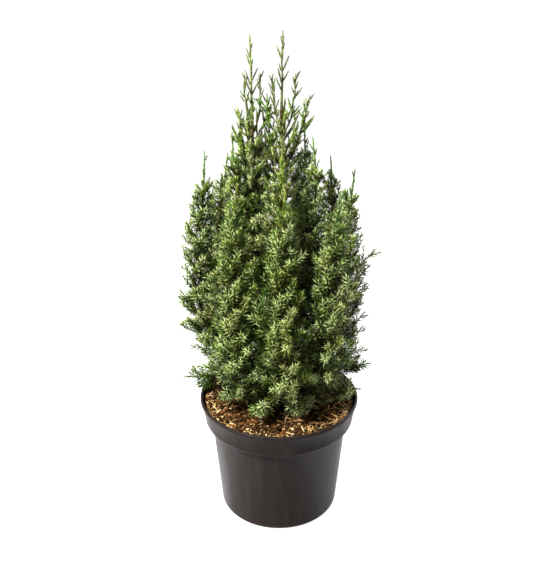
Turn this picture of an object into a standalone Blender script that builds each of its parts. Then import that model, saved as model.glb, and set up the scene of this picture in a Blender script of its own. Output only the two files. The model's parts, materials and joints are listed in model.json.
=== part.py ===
# Potted Chinese juniper: a round nursery pot filled with bark-topped compost, and an upright juniper
# whose two leaders and ring of boughs carry plumes of needled twigs.
# Metres, +Z up. The origin is the centre of the pot's flat underside, and the viewer stands at -Y.

import math
import random

import bmesh
import bpy
import numpy as np
from mathutils import Matrix, Vector, noise

# Pot and compost
POT_HEIGHT = 0.180
RIM_RADIUS = 0.115
RIM_BEAD = 0.0018
RIM_BEAD_HEIGHT = 0.005
BAND_HEIGHT = 0.040
BAND_TAPER = 0.0045
BAND_FOOT_RADIUS = 0.009
BODY_TOP_RADIUS = 0.0985
BODY_FOOT_RADIUS = 0.0868
FOOT_ROUND = 0.008
WALL = 0.0018
FLOOR = 0.003
POT_SIDES = 36
DRAIN_NOTCHES = 8
NOTCH_SIZE = (0.012, 0.011, 0.0045)
SOIL_TOP = 0.172
SOIL_FLAT_RADIUS = 0.027
SOIL_LUMP = 0.0022
SOIL_LUMP_SCALE = 55.0

# Gap that two touching pieces keep
GAP = 0.0003

# Woody limbs: the trunk is the right-hand leader, and a second leader forks from it
TRUNK_FOOT = (-0.006, 0.005)
TRUNK_TOP = 0.600
TRUNK_FOOT_RADIUS = 0.0098
TRUNK_TIP_RADIUS = 0.0017
FLARE = 0.0052
FLARE_HEIGHT = 0.007
FOOT_RINGS = (0.0, 0.003, 0.007, 0.012)
ROOT_LOBES = 4
ROOT_LOBE = 0.22
LEADER_X = -0.033
LEADER_FORK = 0.222
LEADER_TOP = 0.583
LEADER_RADII = (0.0056, 0.0016)
OUTER_BOUGH_RADII = (0.0033, 0.0017)
INNER_BOUGH_RADII = (0.0029, 0.0015)
OUTER_BOUGHS_LEAVE = (0.018, 0.011)
INNER_BOUGHS_LEAVE = (0.058, 0.008)

# Rings of plumes. Azimuth 0 is +X, and it runs anticlockwise from above. Heights are above the compost.
# A plume's tip is its radius and height, and an outer plume's third value is the radius of its waist.
# A ring's boughs leave their limb at three heights in turn: the lowest, and the step between them.
OUTER_START = -6.0
OUTER_STEP = 40.0
OUTER_PLUMES = (
    (0.096, 0.350, 0.093), (0.084, 0.352, 0.096), (0.088, 0.325, 0.100), (0.088, 0.335, 0.100),
    (0.080, 0.359, 0.104), (0.098, 0.376, 0.110), (0.090, 0.350, 0.100), (0.070, 0.338, 0.083),
    (0.104, 0.338, 0.097),
)
OUTER_FOOT = (0.050, 0.030)
OUTER_ELBOW = (0.086, 0.084)
OUTER_WAIST_HEIGHT = 0.175
OUTER_REACH = 0.040
INNER_START = 54.0
INNER_STEP = 72.0
INNER_TIPS = ((0.050, 0.404), (0.048, 0.415), (0.062, 0.400), (0.046, 0.378), (0.045, 0.392))
INNER_FOOT = (0.034, 0.082)
LEADER_SIDE = (150.0, 250.0)
LEADER_FOOT_SHIFT = (-0.016, 0.0, 0.0)
INNER_ELBOW = (0.054, 0.200)
INNER_REACH = 0.034
SKIRT_START = 14.0
SKIRT_STEP = 40.0
SKIRT_TIPS = (
    (0.138, 0.042), (0.124, 0.052), (0.122, 0.056), (0.128, 0.054), (0.138, 0.028),
    (0.094, 0.030), (0.096, 0.027), (0.092, 0.031), (0.124, 0.050),
)
SKIRT_HEIGHT = 0.0075
SKIRT_MIDDLE = (0.062, 0.034)
SKIRT_REACH = 0.034
SKIRT_ANGLE = 70.0
SKIRT_RADIUS = 0.0014
SIDE_ANGLE = 34.0
SIDE_RADIUS = 0.0012
STEM_CLEARS_BARK = 0.008

# What fills a stem: how many twigs it bears, the share of it where they start, its bare share with the
# count of its whorls and bends, and its core's sides, rings and the share where the core starts
OUTER_FILLING = (7, 0.08, (0.86, 2, 6), (6, 7, 0.06))
INNER_FILLING = (5, 0.08, (0.86, 2, 6), (6, 6, 0.06))
SKIRT_FILLING = (4, 0.26, (0.80, 2, 5), (5, 4, 0.26))
SIDE_TWIGS = 4
SIDE_FIRST = 0.2
SIDE_BARE = 0.18
SIDE_WHORL = 0.013
SIDE_CORE = (5, 4, 0.1)
SPIRE_FILLING = (5, 0.06, (0.06, 9, 1))

# Side plumes and spires of the two leaders: height above the compost, azimuth, length, lean, reach, core
TRUNK_PLUMES = {
    "right_low": (0.332, 0.0, 0.116, 18.0, 0.028, SIDE_CORE),
    "left_low": (0.326, 160.0, 0.118, 9.0, 0.020, SIDE_CORE),
    "front_low": (0.300, 272.0, 0.118, 14.0, 0.026, SIDE_CORE),
    "right_high": (0.390, -14.0, 0.084, 16.0, 0.017, None),
    "left_high": (0.396, 196.0, 0.074, 9.0, 0.013, None),
}
LEADER_PLUMES = {
    "left_low": (0.312, 184.0, 0.116, 9.0, 0.026, SIDE_CORE),
    "front_low": (0.296, 262.0, 0.100, 14.0, 0.022, SIDE_CORE),
    "back_low": (0.318, 92.0, 0.114, 13.0, 0.022, SIDE_CORE),
    "left_high": (0.378, 176.0, 0.090, 7.0, 0.016, None),
    "right_high": (0.396, 16.0, 0.073, 8.0, 0.012, None),
}
TRUNK_SPIRE = (0.004, 0.001, 0.521, 0.014)
LEADER_SPIRE = (-0.0355, 0.0, 0.515, 0.014)

# Twigs with whorls of three needles, and the spiked cores of the dense masses
GOLDEN_ANGLE = math.radians(137.5)
TURN_NOISE = 0.2
TWIG_TIP = 0.30
TWIG_RADIUS = 0.0013
TWIG_WHORL = 0.0095
LAST_TWIG = 0.90
SHORTEST_TWIG = 0.007
NEEDLE_OUT = 0.0044
NEEDLE_FORWARD = 0.0048
CORE_SHARE = 0.66
SPIKE_OUT = 0.0085
SPIKE_FORWARD = 0.0095
SPACE_MARGIN = 0.07
LIMB_MARGIN = 0.0011
SHRINK_STEPS = (1.0, 0.94, 0.88, 0.82, 0.74, 0.66, 0.58, 0.50)
CORE_SHRINK_STEPS = (1.0, 0.84, 0.70, 0.56, 0.42, 0.30, 0.18)
SPIKE_SHRINK_STEPS = (1.0, 0.7, 0.45, 0.2, 0.0)
FURTHEST_SHARE = 1.05
NEIGHBOUR_RANGE = 0.25
SOIL_CLEARANCE = 0.0045
RIM_CLEARANCE = 0.003
RIM_INSET = 0.011
AXIS_SAMPLES = 13

parts = bpy.data.collections.new("potted_chinese_juniper")
cutters = bpy.data.collections.new("cutters")
limbs = []
masses = []


def clear_scene():
    for old in list(bpy.data.objects):
        bpy.data.objects.remove(old)
    bpy.context.scene.collection.children.link(parts)
    bpy.context.scene.collection.children.link(cutters)


def finish(name, colour, roughness):
    """A plain non-metal finish."""
    material = bpy.data.materials.new(name)
    material.use_nodes = True
    shader = material.node_tree.nodes["Principled BSDF"]
    shader.inputs["Base Color"].default_value = (*colour, 1.0)
    shader.inputs["Roughness"].default_value = roughness
    shader.inputs["Metallic"].default_value = 0.0
    return material


def unit(vector):
    return vector / np.linalg.norm(vector)


def polar(azimuth, radius, height):
    """A point at this azimuth in degrees, radius and height over the pot's foot."""
    turn = math.radians(azimuth)
    return np.array([radius * math.cos(turn), radius * math.sin(turn), height])


def smooth(keys, count):
    """Points of a Catmull-Rom curve through the keys, evenly spaced along it."""
    keys = [np.array(key, float) for key in keys]
    guarded = [2 * keys[0] - keys[1], *keys, 2 * keys[-1] - keys[-2]]
    fine = []
    for a, b, c, d in zip(guarded, guarded[1:], guarded[2:], guarded[3:]):
        for t in np.linspace(0, 1, 12, endpoint=False):
            fine.append(0.5 * (2 * b + (c - a) * t + (2 * a - 5 * b + 4 * c - d) * t**2
                               + (3 * b - a - 3 * c + d) * t**3))
    fine = np.array([*fine, keys[-1]])
    length = np.concatenate([[0], np.cumsum(np.linalg.norm(np.diff(fine, axis=0), axis=1))])
    wanted = np.linspace(0, length[-1], count)
    return np.stack([np.interp(wanted, length, fine[:, axis]) for axis in range(3)], axis=1)


def at_share(path, share):
    """The point and heading at this share of a path of evenly spaced points."""
    place = min(max(share, 0.0), 1.0) * (len(path) - 1)
    first = min(int(place), len(path) - 2)
    step = path[first + 1] - path[first]
    return path[first] + step * (place - first), unit(step)


def stem_frame(mass, share):
    """The point of a mass's stem at this share, its heading there and two unit vectors square to it."""
    point, heading = at_share(mass["stem"], share)
    lean = mass["stem"][-1] - mass["stem"][0]
    leans = math.hypot(lean[0], lean[1]) > 0.004
    side = np.array([-lean[1], lean[0], 0.0]) if leans else np.array([0.0, 1.0, 0.0])
    side = unit(side - np.dot(side, heading) * heading)
    return point, heading, side, np.cross(heading, side)


def object_of(name, mesh, collection):
    obj = bpy.data.objects.new(name, mesh)
    collection.objects.link(obj)
    return obj


def made_mesh(obj, collection):
    """The object as an applied mesh with its doubles welded, in place of the object."""
    bpy.context.view_layer.update()
    graph = bpy.context.evaluated_depsgraph_get()
    mesh = bpy.data.meshes.new_from_object(obj.evaluated_get(graph))
    name, place = obj.name, obj.matrix_world.copy()
    bpy.data.objects.remove(obj)
    bm = bmesh.new()
    bm.from_mesh(mesh)
    bmesh.ops.remove_doubles(bm, verts=bm.verts, dist=1e-6)
    bmesh.ops.recalc_face_normals(bm, faces=bm.faces)
    bm.to_mesh(mesh)
    bm.free()
    made = object_of(name, mesh, collection)
    made.matrix_world = place
    return made


def tube(name, path, radii, resolution, collection):
    """A tapering round limb along the path, with flat ends."""
    curve = bpy.data.curves.new(name, "CURVE")
    curve.dimensions = "3D"
    curve.bevel_depth = 1.0
    curve.bevel_resolution = resolution
    curve.use_fill_caps = True
    spline = curve.splines.new("POLY")
    spline.points.add(len(path) - 1)
    for point, place, radius in zip(spline.points, path, radii):
        point.co = (*place, 1.0)
        point.radius = radius
    return made_mesh(object_of(name, curve, collection), collection)


def turned(name, profile, collection):
    """A closed body turned from radius and height pairs that start and end on the axis."""
    mesh = bpy.data.meshes.new(name)
    mesh.from_pydata([(r, 0.0, z) for r, z in profile], [(i, i + 1) for i in range(len(profile) - 1)], [])
    obj = object_of(name, mesh, collection)
    screw = obj.modifiers.new("turn", "SCREW")
    screw.steps = POT_SIDES
    screw.render_steps = POT_SIDES
    screw.use_merge_vertices = True
    screw.merge_threshold = 0.00005
    return made_mesh(obj, collection)


def arc(centre, radius, start, end, count):
    """Points of an arc in the profile's plane, by angle in degrees from +radius towards +height."""
    return [(centre[0] + radius * math.cos(math.radians(a)), centre[1] + radius * math.sin(math.radians(a)))
            for a in np.linspace(start, end, count)]


def pot_inside():
    """The pot's inner wall from the floor's edge up to the rim, as radius and height pairs."""
    shoulder = POT_HEIGHT - BAND_HEIGHT
    band_inside = RIM_RADIUS - RIM_BEAD - WALL
    return [
        (BODY_FOOT_RADIUS - WALL - FOOT_ROUND * 0.6, FLOOR),
        (BODY_FOOT_RADIUS - WALL, FLOOR + FOOT_ROUND),
        (BODY_TOP_RADIUS - WALL, shoulder - WALL),
        (band_inside - BAND_TAPER, shoulder + BAND_FOOT_RADIUS),
        (band_inside, POT_HEIGHT),
    ]


def make_pot(material):
    """The pot: tapered body, wide band, rim bead, rounded foot and drain notches in the foot's edge."""
    shoulder = POT_HEIGHT - BAND_HEIGHT
    band = RIM_RADIUS - RIM_BEAD
    band_foot = (band - BAND_TAPER - BAND_FOOT_RADIUS, shoulder + BAND_FOOT_RADIUS)
    outside = [
        (RIM_RADIUS - 0.0012, POT_HEIGHT),
        (RIM_RADIUS, POT_HEIGHT - 0.0014),
        (RIM_RADIUS, POT_HEIGHT - RIM_BEAD_HEIGHT + 0.001),
        (band, POT_HEIGHT - RIM_BEAD_HEIGHT),
        *arc(band_foot, BAND_FOOT_RADIUS, 0, -80, 4),
        (BODY_TOP_RADIUS, shoulder - 0.0006),
        *arc((BODY_FOOT_RADIUS - FOOT_ROUND, FOOT_ROUND), FOOT_ROUND, 0, -80, 4),
        (BODY_FOOT_RADIUS - FOOT_ROUND, 0.0),
    ]
    pot = turned("pot", [(0.0, FLOOR), *pot_inside(), *outside, (0.0, 0.0)], parts)
    for number in range(DRAIN_NOTCHES):
        azimuth = 22.5 + 360.0 * number / DRAIN_NOTCHES
        bm = bmesh.new()
        bmesh.ops.create_cube(bm, size=1.0)
        bmesh.ops.scale(bm, vec=NOTCH_SIZE, verts=bm.verts)
        mesh = bpy.data.meshes.new("notch")
        bm.to_mesh(mesh)
        bm.free()
        notch = object_of(f"notch_{number}", mesh, cutters)
        notch.location = polar(azimuth, BODY_FOOT_RADIUS, 0.0)
        notch.rotation_euler = (0.0, 0.0, math.radians(azimuth))
        notch.hide_render = True
        notch.display_type = "WIRE"
        cut = pot.modifiers.new(f"drain_{number}", "BOOLEAN")
        cut.operation = "DIFFERENCE"
        cut.object = notch
        cut.solver = "EXACT"
    pot.data.materials.append(material)
    pot.data.shade_smooth()
    pot.data.set_sharp_from_angle(angle=math.radians(35))


def make_soil(material):
    """The compost: it fills the pot, and its top is lumpy round a flat place for the trunk."""
    inside = [(r - 1.5 * GAP, z + GAP) for r, z in pot_inside()]
    wall_foot, wall_top = inside[-2], inside[-1]
    share = (SOIL_TOP - wall_foot[1]) / (wall_top[1] - wall_foot[1])
    edge = wall_foot[0] + share * (wall_top[0] - wall_foot[0])
    top = [(r, SOIL_TOP) for r in (0.0, SOIL_FLAT_RADIUS, 0.050, 0.080)]
    soil = turned("soil", [*top, (edge, SOIL_TOP), *reversed(inside[:-1]), (0.0, FLOOR + GAP)], parts)
    for vertex in soil.data.vertices:
        radius = math.hypot(vertex.co.x, vertex.co.y)
        if vertex.co.z > SOIL_TOP - GAP and radius > SOIL_FLAT_RADIUS + GAP:
            share = min(1.0, (radius - SOIL_FLAT_RADIUS) / 0.02)
            vertex.co.z += share * SOIL_LUMP * noise.noise(vertex.co * SOIL_LUMP_SCALE)
    soil.data.materials.append(material)


def record_limb(path, radii):
    """Keeps a limb's line and radii, closely sampled, so that foliage can stay clear of it."""
    length = np.linalg.norm(np.diff(path, axis=0), axis=1).sum()
    count = max(4, int(length / 0.002))
    places = np.linspace(0, len(path) - 1, count)
    samples = np.stack([np.interp(places, range(len(path)), path[:, axis]) for axis in range(3)], axis=1)
    limbs.append((samples, np.interp(places, range(len(path)), radii)))


def clearance(name, path, radii, resolution):
    """A cutter one gap wider than the limb that it follows."""
    cutter = tube(f"{name}_clearance", path, [radius + GAP for radius in radii], resolution, cutters)
    cutter.hide_render = True
    cutter.display_type = "WIRE"
    return cutter


def make_limb(name, path, radii, resolution, material, parent_cutter=None):
    """A tapering limb, cut to sit one gap off the limb that bears it."""
    limb = tube(name, path, radii, resolution, parts)
    if parent_cutter:
        seat = limb.modifiers.new("seat", "BOOLEAN")
        seat.operation = "DIFFERENCE"
        seat.object = parent_cutter
        seat.solver = "EXACT"
    limb.data.materials.append(material)
    limb.data.shade_smooth()
    record_limb(path, radii)
    return limb


def taper(count, radii):
    """Radii that fall evenly from the first to the last."""
    return np.linspace(radii[0], radii[1], count)


def trunk_line():
    """The trunk's line and radii: upright at the foot, then leaning to the right-hand spire."""
    x, y = TRUNK_FOOT
    foot = SOIL_TOP + GAP
    rings = [(x, y, foot + rise) for rise in FOOT_RINGS]
    keys = [(x, y, foot + 0.020), (-0.004, 0.004, 0.270), (0.001, 0.002, 0.420), (0.0032, 0.0008, TRUNK_TOP)]
    path = np.array([*rings, *smooth(keys, 13)])
    height = path[:, 2] - foot
    share = height / height[-1]
    radii = TRUNK_TIP_RADIUS + (TRUNK_FOOT_RADIUS - TRUNK_TIP_RADIUS) * (1 - share) ** 0.85
    return path, radii + FLARE * np.exp(-height / FLARE_HEIGHT)


def spread_roots(trunk, foot_height):
    """Pushes the foot of a trunk's mesh out into root lobes, which fade upwards."""
    for vertex in trunk.data.vertices:
        height = vertex.co.z - foot_height
        x, y = vertex.co.x - TRUNK_FOOT[0], vertex.co.y - TRUNK_FOOT[1]
        if height < 0.03:
            lobe = ROOT_LOBE * math.exp(-height / FLARE_HEIGHT)
            lobe *= math.cos(ROOT_LOBES * math.atan2(y, x) + 0.6)
            vertex.co.x += x * lobe
            vertex.co.y += y * lobe


def make_trunk(material):
    """The trunk, with root lobes spreading at its flat foot."""
    path, radii = trunk_line()
    trunk = make_limb("trunk", path, radii, 4, material)
    cutter = clearance("trunk", path, radii, 4)
    spread_roots(trunk, path[0][2])
    spread_roots(cutter, path[0][2])
    return path, radii, cutter


def make_leader(material, trunk_path, trunk_cutter):
    """The second leader, which forks low from the trunk and runs up beside it."""
    start = on_limb(trunk_path, LEADER_FORK)
    keys = [start, (-0.019, 0.002, 0.253), (LEADER_X + 0.003, -0.001, 0.330), (LEADER_X, 0.001, 0.450),
            (LEADER_X - 0.001, 0.0, LEADER_TOP)]
    path = smooth(keys, 12)
    radii = taper(len(path), LEADER_RADII)
    make_limb("left_leader", path, radii, 2, material, trunk_cutter)
    return path, radii, clearance("left_leader", path, radii, 2)


def make_bough(name, start, foot, heading, radii, material, parent_cutter):
    """A bough from inside its bearing limb out to a plume's foot, arriving on the plume's heading."""
    span = np.linalg.norm(foot - start)
    keys = [start, start + 0.45 * (foot - start) + (0, 0, -0.10 * span), foot - 0.16 * span * heading, foot]
    path = smooth(keys, 8)
    path[-1] = path[-2] + heading * np.dot(foot - path[-2], heading)
    make_limb(name, path, taper(len(path), radii), 1, material, parent_cutter)
    return path[-1]


def reach_at(mass, share):
    """How far a mass spreads from its stem: soon wide above its foot, and blunt at its tip."""
    rise = min(1.0, (share + 0.14) / 0.34) ** 0.6
    return mass["reach"] * rise * max(0.0, 1.04 - share) ** 0.48 * 1.12 + 0.002


def measure(mass, points):
    """Each point's distance from the mass's stem, as a share of the reach there."""
    gaps = np.linalg.norm(points[:, None, :] - mass["stem"][None, :, :], axis=2)
    nearest = gaps.argmin(axis=1)
    reaches = np.array([reach_at(mass, k / (AXIS_SAMPLES - 1)) for k in range(AXIS_SAMPLES)])
    return gaps.min(axis=1) / reaches[nearest]


def in_space(mass, points):
    """True for each point in the mass's own space, over the pot and clear of every limb."""
    own = measure(mass, points)
    over_soil = np.hypot(points[:, 0], points[:, 1]) < RIM_RADIUS - RIM_INSET
    lowest = np.where(over_soil, SOIL_TOP + SOIL_CLEARANCE, POT_HEIGHT + RIM_CLEARANCE)
    fine = (own < FURTHEST_SHARE) & (points[:, 2] > lowest)
    for other in masses:
        if other is not mass and fine.any():
            gap = np.linalg.norm(other["stem"] - mass["stem"].mean(axis=0), axis=1).min()
            if gap < NEIGHBOUR_RANGE:
                fine &= own + SPACE_MARGIN < measure(other, points)
    for samples, radii in limbs:
        gaps = np.linalg.norm(points[:, None, :] - samples[None, :, :], axis=2) - radii[None, :]
        fine &= gaps.min(axis=1) > LIMB_MARGIN
    return fine


def edge_points(bm, root, skip):
    """Points along every edge of a modelled piece, beyond a distance from its root."""
    ends = np.array([[vertex.co[:] for vertex in edge.verts] for edge in bm.edges])
    shares = np.linspace(0, 1, 5)[None, :, None]
    points = (ends[:, :1] * (1 - shares) + ends[:, 1:] * shares).reshape(-1, 3)
    return points[np.linalg.norm(points - root, axis=1) > skip]


def ring_matrix(point, heading, radius, roll):
    """The matrix that carries a unit circle to a ring of this radius, square to the heading."""
    turn = Vector(heading).to_track_quat("Z", "Y").to_matrix().to_4x4()
    return Matrix.Translation(Vector(point)) @ turn @ Matrix.Rotation(roll, 4, "Z") @ Matrix.Scale(radius, 4)


def needled(path, radius, bare, whorls, size, bends=1, roll=0.0):
    """A three-sided twig along a path: bare up to a share of it, then whorls of three needles and a bud."""
    shares = [bare * k / bends for k in range(bends + 1)]
    shares += [bare + (0.94 - bare) * (k + 1) / whorls for k in range(whorls)] + [1.0]
    frames = []
    for share in shares:
        girth = radius * max(TWIG_TIP, 1 - (1 - TWIG_TIP) * share)
        frames.append(ring_matrix(*at_share(path, share), girth, roll))
    bm = bmesh.new()
    bmesh.ops.create_circle(bm, cap_ends=True, segments=3, radius=1.0, matrix=frames[0])
    cap = bm.faces[:]
    for number, (last, this) in enumerate(zip(frames, frames[1:])):
        made = bmesh.ops.extrude_face_region(bm, geom=cap)["geom"]
        if number > 0:
            bmesh.ops.delete(bm, geom=cap, context="FACES_ONLY")
        cap = [item for item in made if isinstance(item, bmesh.types.BMFace)]
        ring = [item for item in made if isinstance(item, bmesh.types.BMVert)]
        bmesh.ops.transform(bm, matrix=this @ last.inverted(), verts=ring)
        if bends <= number < bends + whorls:
            sides = []
            for face in (face for vertex in ring for face in vertex.link_faces):
                if face not in cap and face not in sides:
                    sides.append(face)
            tips = bmesh.ops.poke(bm, faces=sides, offset=0.0)["verts"]
            centre, heading = at_share(path, 0.5 * (shares[number] + shares[number + 1]))
            for tip in tips:
                outward = unit(np.array(tip.co) - centre)
                tip.co = Vector(centre + size * (NEEDLE_OUT * outward + NEEDLE_FORWARD * heading))
    bmesh.ops.recalc_face_normals(bm, faces=bm.faces)
    return bm


def piece_of(bm, collection):
    """Keeps a modelled piece as an object of the collection."""
    bmesh.ops.triangulate(bm, faces=bm.faces)
    mesh = bpy.data.meshes.new("piece")
    bm.to_mesh(mesh)
    bm.free()
    return object_of("piece", mesh, collection)


def ball_order(point):
    """A number that sorts a ball's points by height and then by azimuth, whatever order they are made in."""
    return 100.0 * round(point.z, 3) + round(math.atan2(point.y, point.x) % (2 * math.pi - 0.001), 3)


def core_of(mass, sides, rings, first):
    """A dense mass's core: a spindle on its stem that is drawn in from its neighbours and bears spikes."""
    rng = random.Random(mass["seed"] + 9000)
    bm = bmesh.new()
    bmesh.ops.create_uvsphere(bm, u_segments=sides, v_segments=rings + 1, radius=1.0)
    bm.verts.sort(key=lambda vertex: ball_order(vertex.co))
    bm.faces.sort(key=lambda face: ball_order(face.calc_center_median()))
    for vertex in bm.verts:
        polar_share = 1 - math.acos(max(-1.0, min(1.0, vertex.co.z))) / math.pi
        share = first + (LAST_TWIG - first) * polar_share
        turn = math.atan2(vertex.co.y, vertex.co.x) + 2 * math.pi * polar_share
        bulge = math.sin(math.pi * polar_share) ** 0.45 if 0.01 < polar_share < 0.99 else 0.0
        centre, heading, side, up = stem_frame(mass, share)
        outward = math.cos(turn) * side + math.sin(turn) * up
        full = CORE_SHARE * bulge * reach_at(mass, share)
        for shrink in CORE_SHRINK_STEPS:
            if in_space(mass, np.array([centre + outward * (shrink * full + 0.003)]))[0]:
                break
        vertex.co = centre + outward * shrink * full
    faces = [face for face in bm.faces if len(face.verts) == 4]
    tips = bmesh.ops.poke(bm, faces=faces, offset=0.0)["verts"]
    bm.normal_update()
    for tip in tips:
        centre, normal = np.array(tip.co), np.array(tip.normal)
        nearest = np.linalg.norm(mass["stem"] - centre, axis=1).argmin()
        heading = at_share(mass["stem"], nearest / (AXIS_SAMPLES - 1))[1]
        spike = rng.uniform(0.7, 1.15) * min(1.0, mass["reach"] / 0.032)
        spike = spike * (SPIKE_OUT * normal + SPIKE_FORWARD * heading)
        for shrink in SPIKE_SHRINK_STEPS:
            if in_space(mass, np.array([centre + shrink * spike, centre + 0.5 * shrink * spike])).all():
                break
        tip.co = Vector(centre + shrink * spike)
    return bm


def twig_plan(mass):
    """The seeded rule for a stem's twigs: share of the stem, turn round it, angle from it, share of reach."""
    rng = random.Random(mass["seed"])
    for number in range(mass["twigs"]):
        place = mass["first"] + (LAST_TWIG - mass["first"]) * (number + 0.5) / mass["twigs"]
        turn = number * GOLDEN_ANGLE + rng.uniform(-TURN_NOISE, TURN_NOISE)
        angle = math.radians(58 - 26 * place + rng.uniform(-5, 5))
        yield place, turn, angle, rng.uniform(0.90, 1.05)


def grow_twigs(mass, collection):
    """Adds each twig of the plan at the greatest length that fits the mass's space."""
    for place, turn, angle, share in twig_plan(mass):
        root, heading, side, up = stem_frame(mass, place)
        outward = math.cos(turn) * side + math.sin(turn) * up
        direction = math.cos(angle) * heading + math.sin(angle) * outward
        full = share * reach_at(mass, place) / math.sin(angle)
        for shrink in SHRINK_STEPS:
            length = full * shrink
            if length < SHORTEST_TWIG:
                break
            path = np.array([root, root + length * direction])
            bare = 0.45 if mass["core"] else 0.25
            whorls = max(1, min(3, round((1 - bare) * length / TWIG_WHORL)))
            bm = needled(path, TWIG_RADIUS, bare, whorls, min(1.0, mass["reach"] / 0.04 + 0.35), roll=turn)
            if in_space(mass, edge_points(bm, root, 0.15 * length)).all():
                piece_of(bm, collection)
                break
            bm.free()


def largest_body(mesh):
    """Drops every loose scrap of a fused mesh, keeping the largest body whose faces meet along edges."""
    bm = bmesh.new()
    bm.from_mesh(mesh)
    bodies = []
    reached = set()
    for first in bm.faces:
        body, border = [], [] if first in reached else [first]
        reached.add(first)
        while border:
            face = border.pop()
            body.append(face)
            for other in (other for edge in face.edges for other in edge.link_faces):
                if other not in reached:
                    reached.add(other)
                    border.append(other)
        bodies.append(body)
    bodies.sort(key=len)
    for body in bodies[:-1]:
        bmesh.ops.delete(bm, geom=body, context="FACES")
    bm.to_mesh(mesh)
    bm.free()


def fuse(body, collection, cutter):
    """One closed mesh of the body and every piece in the collection, which is then removed.

    The exact solver leaves two of these masses open, and the manifold one closes them all.
    """
    union = body.modifiers.new("union", "BOOLEAN")
    union.operation = "UNION"
    union.operand_type = "COLLECTION"
    union.collection = collection
    union.solver = "MANIFOLD"
    if cutter:
        seat = body.modifiers.new("seat", "BOOLEAN")
        seat.operation = "DIFFERENCE"
        seat.object = cutter
        seat.solver = "MANIFOLD"
    fused = made_mesh(body, parts)
    for piece in list(collection.objects):
        bpy.data.objects.remove(piece)
    bpy.data.collections.remove(collection)
    largest_body(fused.data)
    return fused


def make_mass(mass, material):
    """A mass of foliage: a stem that ends in needles, its twigs and, where it is dense, a spiked core."""
    collection = bpy.data.collections.new(mass["name"])
    bpy.context.scene.collection.children.link(collection)
    bare, whorls, bends = mass["bare"]
    size = min(1.1, mass["reach"] / 0.05 + 0.6)
    stem = piece_of(needled(mass["stem"], mass["root"], bare, whorls, size, bends), parts)
    stem.name = mass["name"]
    if mass["core"]:
        piece_of(core_of(mass, *mass["core"]), collection)
    grow_twigs(mass, collection)
    fused = fuse(stem, collection, mass["cutter"])
    fused.data.materials.append(material)


def on_limb(path, height):
    """The point of a rising limb's line at this height."""
    return np.array([np.interp(height, path[:, 2], path[:, axis]) for axis in range(3)])


def add_mass(name, keys, root_radius, reach, twigs, first, bare, core=None):
    """Notes a mass of foliage: its stem's line, its reach round the stem, and how it is filled."""
    masses.append({"name": name, "stem": smooth(keys, AXIS_SAMPLES), "root": root_radius, "reach": reach,
                   "twigs": twigs, "first": first, "bare": bare, "core": core, "cutter": None,
                   "seed": 100 + len(masses)})


def stem_from_bough(name, start, keys, radii, bark, parent_cutter, reach, filling):
    """A bough to the plume's foot, and the plume's stem one gap beyond its end."""
    heading = unit(smooth(keys, AXIS_SAMPLES)[1] - keys[0])
    end = make_bough(f"bough_{name}", start, keys[0], heading, radii, bark, parent_cutter)
    keys = [end + heading * GAP, *keys[1:]]
    add_mass(f"foliage_{name}", keys, radii[1], reach, *filling)


def side_stem(name, limb, height, azimuth, angle, keys, radius, reach, filling):
    """A stem that leaves the side of an upright limb, and is cut to sit one gap off its bark."""
    path, radii, cutter = limb
    start = on_limb(path, height)
    first = polar(azimuth, math.sin(math.radians(angle)), math.cos(math.radians(angle)))
    bark = np.interp(height, path[:, 2], radii)
    add_mass(name, [start, start + first * (bark + STEM_CLEARS_BARK), *keys], radius, reach, *filling)
    masses[-1]["cutter"] = cutter


def leaving(heights, number):
    """The height where a ring's bough leaves its limb."""
    lowest, step = heights
    return SOIL_TOP + lowest + step * (number % 3)


def above_soil(azimuth, place):
    """The point at this azimuth whose radius and height above the compost are given."""
    return polar(azimuth, place[0], SOIL_TOP + place[1])


def plan_rings(bark, trunk, leader):
    """Boughs and stems of the outer and inner rings, and the skirt of low sprays."""
    trunk_path, leader_path = trunk[0], leader[0]
    trunk_cutter, leader_cutter = trunk[2], leader[2]
    for number, (tip_radius, tip_height, waist_radius) in enumerate(OUTER_PLUMES):
        azimuth = OUTER_START + number * OUTER_STEP
        waist, tip = (waist_radius, OUTER_WAIST_HEIGHT), (tip_radius, tip_height)
        keys = [above_soil(azimuth, place) for place in (OUTER_FOOT, OUTER_ELBOW, waist, tip)]
        start = on_limb(trunk_path, leaving(OUTER_BOUGHS_LEAVE, number))
        stem_from_bough(f"outer_{number + 1}", start, keys, OUTER_BOUGH_RADII, bark, trunk_cutter,
                        OUTER_REACH, OUTER_FILLING)
    for number, tip in enumerate(INNER_TIPS):
        azimuth = INNER_START + number * INNER_STEP
        on_leader = LEADER_SIDE[0] < azimuth < LEADER_SIDE[1]
        keys = [above_soil(azimuth, place) for place in (INNER_FOOT, INNER_ELBOW, tip)]
        if on_leader:
            keys[0] = keys[0] + LEADER_FOOT_SHIFT
        start = on_limb(leader_path if on_leader else trunk_path, leaving(INNER_BOUGHS_LEAVE, number))
        stem_from_bough(f"inner_{number + 1}", start, keys, INNER_BOUGH_RADII, bark,
                        leader_cutter if on_leader else trunk_cutter, INNER_REACH, INNER_FILLING)
    for number, tip in enumerate(SKIRT_TIPS):
        azimuth = SKIRT_START + number * SKIRT_STEP
        keys = [above_soil(azimuth, place) for place in (SKIRT_MIDDLE, tip)]
        side_stem(f"foliage_skirt_{number + 1}", trunk, SOIL_TOP + SKIRT_HEIGHT, azimuth, SKIRT_ANGLE, keys,
                  SKIRT_RADIUS, SKIRT_REACH, SKIRT_FILLING)


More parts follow.
